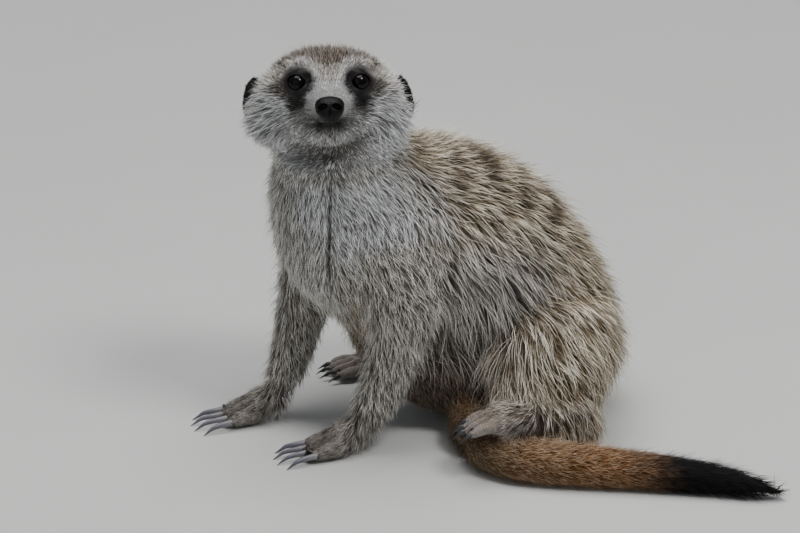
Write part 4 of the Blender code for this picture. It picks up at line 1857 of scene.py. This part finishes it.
@dataclass
class Eye:
    """One eyeball and its lids, in the head's axes.

    Attributes:
        axes: The head's axes.
        side: left or right.
        radius: The eyeball's radius in millimetres.
        diverge: How far it looks to its own side.
        opening: Half width and half height of the lids' opening, in millimetres.
        rim: The lids' half thickness in millimetres.
    """

    axes: HeadAxes
    side: str
    radius: float = 5.2
    diverge: float = math.radians(14)
    opening: tuple[float, float] = (4.4, 3.9)
    rim: float = 0.26

    def centre(self) -> np.ndarray:
        """The eyeball's middle, from the frame."""
        return self.axes.seen(middle(f"eye_{self.side}")[None])[0]

    def aim(self) -> np.ndarray:
        """Find which way the eye looks.

        Returns:
            Rows: across, ahead and up of the eye, in the head's axes.
        """
        sign = 1 if self.side == "left" else -1
        angle = -sign * self.diverge
        across = (math.cos(angle), math.sin(angle), 0)
        ahead = (-math.sin(angle), math.cos(angle), 0)
        return np.array((across, ahead, (0, 0, 1)))

    def globe(self) -> bpy.types.Mesh:
        """Model the eyeball with its bulging cornea.

        Returns:
            The mesh; its number ``aside`` is 0 on the axis and 1 a quarter turn off.
        """
        shape = sphere_rings(64, 48)
        off = np.arccos(np.clip(shape[:, :, 1], -1, 1)) / (math.pi / 2)
        bulge = 1.0 + 0.05 * eased(off.ravel(), 0.6, 0.2).reshape(off.shape)
        placed = (shape * (self.radius * bulge)[:, :, None]) @ self.aim() + self.centre()
        mesh = grid_mesh(f"eye_{self.side}", self.axes.back(placed.reshape(-1, 3)).reshape(shape.shape))
        keep_numbers(mesh, "aside", np.concatenate((off.ravel(), (0.0, 2.0))))
        return mesh

    def lids(self) -> bpy.types.Mesh:
        """Model the bare margin of the lids, a soft rim on the eyeball round its opening.

        Returns:
            The mesh.
        """
        inner = -1 if self.side == "left" else 1
        turn = np.linspace(0, math.tau, 72, endpoint=False)
        corner = np.maximum(np.cos(turn) * inner, 0)
        across = self.opening[0] * np.cos(turn) * (1 + 0.10 * corner ** 6)
        up = self.opening[1] * np.sin(turn) - 0.8 * corner ** 4
        outward = units(np.stack((across, 0 * across, up), axis=1))
        section = np.linspace(0, math.tau, 12, endpoint=False)
        rings = []
        for place, out in zip(np.stack((across, 0 * across, up), axis=1), outward):
            ring = []
            for angle in section:
                aside = place + out * self.rim * (0.9 + 1.5 * math.cos(angle))
                flat = min(np.linalg.norm(aside) / (self.radius * 1.1), 0.98)
                depth = self.radius * 1.1 * math.sqrt(1 - flat ** 2)
                ring.append(aside + np.array((0, depth + self.rim * math.sin(angle), 0)))
            rings.append(ring)
        rings = np.array(rings)
        placed = self.axes.back(rings.reshape(-1, 3) @ self.aim() + self.centre()).reshape(rings.shape)
        return grid_mesh(f"lids_{self.side}", np.concatenate((placed, placed[:1])), closed_ends=False)

    def build(self, wet: bpy.types.Material, rim: bpy.types.Material) -> None:
        """Show the eyeball and its lids.

        Args:
            wet: The eyeball's finish.
            rim: The lids' finish.
        """
        globe = show(f"eyeball_{self.side}", self.globe(), wet)
        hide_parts(f"eye_{self.side}")
        show(f"lids_{self.side}", self.lids(), rim)


@dataclass
class Nose:
    """The bare nose pad with its nostrils.

    Attributes:
        axes: The head's axes.
        half: Half sizes in millimetres.
        squareness: Power that fills out the pad's corners; 1 leaves it round.
    """

    axes: HeadAxes
    half: tuple[float, float, float] = (6.5, 4.0, 5.3)
    squareness: float = 0.86

    def build(self, material: bpy.types.Material) -> None:
        """Model and show the pad.

        Args:
            material: Its finish.
        """
        shape = sphere_rings(96, 72)
        flat = shape.reshape(-1, 3)
        flat = np.sign(flat) * np.abs(flat) ** self.squareness
        flat[:, 0] *= 1.0 + 0.12 * flat[:, 2]
        flat[:, 1] *= 1.0 - 0.10 * flat[:, 2]
        placed = flat * np.array(self.half)
        ahead = eased(flat[:, 1], 0.1, 0.6)
        for sign in (-1, 1):
            aside = (placed[:, 0] * sign - 3.2) / 2.0
            above = (placed[:, 2] - 0.6 + 0.30 * (placed[:, 0] * sign - 3.2)) / 1.45
            hole = eased(np.hypot(aside, above), 1.15, 0.45) * ahead
            placed[:, 1] -= 2.6 * hole
            slit = eased(np.abs(placed[:, 2] + 0.9 + 0.12 * (placed[:, 0] * sign - 4.5) ** 2), 0.7, 0.0)
            slit *= eased(placed[:, 0] * sign, 3.6, 4.6) * eased(flat[:, 1], -0.2, 0.3)
            placed[:, 1] -= 0.9 * slit
            wing = eased(np.hypot((placed[:, 0] * sign - 3.1) / 2.9, (placed[:, 2] - 1.6) / 1.5), 1.2, 0.2)
            placed[:, 1] += 0.55 * wing * ahead
        groove = eased(np.abs(placed[:, 0]), 0.75, 0.0) * eased(placed[:, 2], 1.0, -2.0) * ahead
        placed[:, 1] -= 0.75 * groove
        centre = self.axes.seen(middle("nose")[None])[0]
        placed = self.axes.back(placed + centre).reshape(shape.shape)
        made = show("nose_pad", grid_mesh("nose_pad", placed), material)
        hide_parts("nose")


@dataclass
class Claws:
    """The claws of one foot.

    Attributes:
        nodes: The CAD nodes.
        foot: fore or hind.
        side: left or right.
        toes: How many claws there are.
    """

    nodes: dict[str, bpy.types.Object]
    foot: str
    side: str
    toes: int = 4

    def claw(self, node: bpy.types.Object) -> tuple[np.ndarray, np.ndarray]:
        """A smooth claw on the line of the CAD's.

        Args:
            node: The CAD claw.

        Returns:
            Rings of points, and how far along each ring lies.
        """
        points = points_of(node.data)
        centre = points.mean(axis=0)
        axis = np.linalg.svd(points - centre)[2][0]
        axis *= -np.sign(axis[1])
        reach = (points - centre) @ axis
        low, high = reach.min(), reach.max()
        shares = np.linspace(0, 1, 6)
        middles, sizes = [], []
        for share in shares:
            near = np.abs(reach - (low + (high - low) * share)) < (high - low) * 0.16
            slab = points[near]
            middles.append((slab.min(axis=0) + slab.max(axis=0)) / 2)
            sizes.append(np.ptp(slab[:, 0]) / 2)
        middles, sizes = np.array(middles), np.array(sizes)
        middles[0] = middles[1] - (middles[2] - middles[1])
        fine = np.linspace(0, 1, 22)
        line = np.column_stack([np.interp(fine, shares, middles[:, axis_]) for axis_ in range(3)])
        line[1:-1] = (line[:-2] + 2 * line[1:-1] + line[2:]) / 4
        root = max(sizes[:3].max(), 0.0009)
        size = root * (1 - fine ** 1.8) * 0.98 + 0.00012
        turn = np.linspace(0, math.tau, 16, endpoint=False)
        side = units(np.cross(axis, (0, 0, 1)))
        up = np.cross(side, axis)
        ring = side * 0.8 * np.cos(turn)[:, None] + up * np.sin(turn)[:, None]
        rings = line[:, None] + ring[None] * size[:, None, None]
        rings[:, :, 2] = np.maximum(rings[:, :, 2], 0.00005)
        return rings, fine

    def build(self, material: bpy.types.Material) -> None:
        """Model and show the claws in one piece.

        Args:
            material: Their finish.
        """
        names = [f"{self.foot}_claw_{self.side}_{number}" for number in range(1, self.toes + 1)]
        bm = bmesh.new()
        along = []
        for name in names:
            rings, share = self.claw(self.nodes[name])
            bm.from_mesh(grid_mesh(name, rings))
            along += [np.repeat(share, rings.shape[1]), (0.0, 1.0)]
        mesh = bpy.data.meshes.new("claws")
        bm.to_mesh(mesh)
        bm.free()
        mesh.shade_smooth()
        keep_numbers(mesh, "along", np.concatenate(along))
        made = show(f"{self.foot}_claws_{self.side}", mesh, material)
        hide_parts(*names)


@dataclass
class Whiskers:
    """Fine single hairs on the muzzle and over the eyes.

    Attributes:
        axes: The head's axes.
        hide: The skin that they grow on.
        thickness: Radius at the root in millimetres.
    """

    axes: HeadAxes
    hide: Hide
    thickness: float = 0.14

    def hair(self, root: np.ndarray, aim: np.ndarray, length: float) -> np.ndarray:
        """Bend and taper one hair, in the head's axes.

        Args:
            root: Where it starts.
            aim: Where it points.
            length: Its length in millimetres.

        Returns:
            Rings of points.
        """
        share = np.linspace(0, 1, 9)[:, None]
        line = root + aim * length * share + np.array((0, -0.12, -0.18)) * length * share ** 2
        size = self.thickness * (1.0 - 0.85 * share[:, 0])
        turn = np.linspace(0, math.tau, 5, endpoint=False)
        side = units(np.cross(aim, (0, 0.2, 1.0)))
        up = np.cross(side, aim)
        ring = side * np.cos(turn)[:, None] + up * np.sin(turn)[:, None]
        return line[:, None] + ring[None] * size[:, None, None]

    def build(self, material: bpy.types.Material) -> None:
        """Model and show all of them in one piece.

        Args:
            material: Their finish.
        """
        random = np.random.default_rng(SEED + 1)
        tree = BVHTree.FromPolygons(self.axes.seen(self.hide.points).tolist(), self.hide.triangles.tolist())
        bm = bmesh.new()
        for sign in (-1, 1):
            starts = [((5 + 2.2 * row) * sign, 19 - 2.6 * row, -12 - 2.4 * line, 14 + 3 * row)
                      for row in range(4) for line in range(3)]
            starts += [((9 + 2.5 * row) * sign, 2, 9.5, 8) for row in range(3)]
            for across, ahead, up, length in starts:
                near = np.array(tree.find_nearest((across, ahead, up))[0])
                aim = np.array((sign * 0.85, -0.25, (up + 9) * 0.03)) + random.normal(0, 0.12, 3)
                rings = self.hair(near, units(aim), length * random.uniform(0.8, 1.2))
                placed = self.axes.back(rings.reshape(-1, 3)).reshape(rings.shape)
                bm.from_mesh(grid_mesh("hair", placed))
        mesh = bpy.data.meshes.new("whiskers")
        bm.to_mesh(mesh)
        bm.free()
        mesh.shade_smooth()
        show("whiskers", mesh, material)


# --------------------------------------------------------------------------
# Studio
# --------------------------------------------------------------------------


class Lamp(Enum):
    """The studio's lamps: watts, size, and where each stands from the animal, in metres."""

    KEY = (20.0, 0.50, (1.0, 0.45, 1.6))
    FILL = (2.6, 1.6, (1.2, -1.2, 0.7))
    TOP = (33.0, 1.4, (-0.1, -0.1, 2.0))


@dataclass(frozen=True)
class Studio:
    """Floor, sky, lamps and camera.

    Attributes:
        target: What the camera and the lamps are aimed at, in metres.
        azimuth: Where the camera stands, from straight before the animal to its left.
        elevation: How high it stands.
        distance: How far off it stands, in metres.
        lens: Its focal length in millimetres.
        floor_side: The floor's side in metres.
        sky: The sky's colour.
        sky_strength: The sky's strength.
    """

    target: tuple[float, float, float] = (-0.0355, -0.0194, 0.0772)
    azimuth: float = math.radians(72)
    elevation: float = math.radians(22)
    distance: float = 2.0
    lens: float = 193.5
    floor_side: float = 12.0
    sky: Colour = (0.62, 0.66, 0.70)
    sky_strength: float = 0.36

    def camera(self) -> None:
        """Place the camera."""
        data = bpy.data.cameras.new("camera")
        data.lens = self.lens
        data.sensor_width = 36.0
        made = linked("camera", data)
        flat = math.cos(self.elevation)
        across = (math.sin(self.azimuth) * flat, -math.cos(self.azimuth) * flat)
        away = Vector((*across, math.sin(self.elevation)))
        made.location = Vector(self.target) + away * self.distance
        made.rotation_euler = (-away).to_track_quat("-Z", "Y").to_euler()
        bpy.context.scene.camera = made

    def lamps(self) -> None:
        """Hang the lamps, each aimed at the animal."""
        for lamp in Lamp:
            power, size, place = lamp.value
            data = bpy.data.lights.new(lamp.name.lower(), "AREA")
            data.energy = power
            data.size = size
            made = linked(lamp.name.lower(), data)
            made.location = Vector(self.target) + Vector(place)
            made.rotation_euler = (-Vector(place)).to_track_quat("-Z", "Y").to_euler()

    def ground(self) -> None:
        """Lay the floor and light the sky."""
        half = self.floor_side / 2
        corners = np.array(((-half, -half, 0), (half, -half, 0), (half, half, 0), (-half, half, 0)))
        mesh = mesh_of("floor", corners, np.array(((0, 1, 2), (0, 2, 3))))
        mesh.materials.append(PlainFinish("floor", (0.60, 0.60, 0.58)).material())
        linked("floor", mesh)
        world = bpy.data.worlds.new("studio")
        world.use_nodes = True
        shade = world.node_tree.nodes["Background"]
        shade.inputs["Color"].default_value = (*self.sky, 1.0)
        shade.inputs["Strength"].default_value = self.sky_strength
        bpy.context.scene.world = world

    def build(self) -> None:
        """Set everything up."""
        self.ground()
        self.lamps()
        self.camera()


def main() -> None:
    """Dress the animal piece by piece and write down how large it came out."""
    logging.basicConfig(level=logging.INFO, format="%(message)s")
    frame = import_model()
    nodes = frame["nodes"]
    axes = HeadAxes()
    coat_finish = CoatFinish()

    hide = Hide(nodes, axes)
    hide.make()
    skin = show("skin", hide.mesh(), coat_finish.skin())
    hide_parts(*hide.flesh())
    Coat(hide, axes).build(coat_finish.hair())

    # The lids' colour and the painted shade in their creases.
    lid_tones = ((0.014, 0.012, 0.012), (0.007, 0.006, 0.006))
    rim = WetFinish("eyelid", *lid_tones, roughness=0.7, gloss=0.1).material()
    wet = EyeFinish().material()
    for side in SIDES:
        Eye(axes, side).build(wet, rim)
        Claws(nodes, "fore", side).build(HornFinish(f"fore_horn_{side}").material())
        Claws(nodes, "hind", side).build(HornFinish(f"hind_horn_{side}", *DARK_HORN).material())
    Nose(axes).build(WetFinish("nose_skin", gloss=0.16).material())
    Whiskers(axes, hide).build(PlainFinish("whisker", (0.05, 0.045, 0.04), 0.5).material())
    Studio().build()


if __name__ == "__main__":
    main()
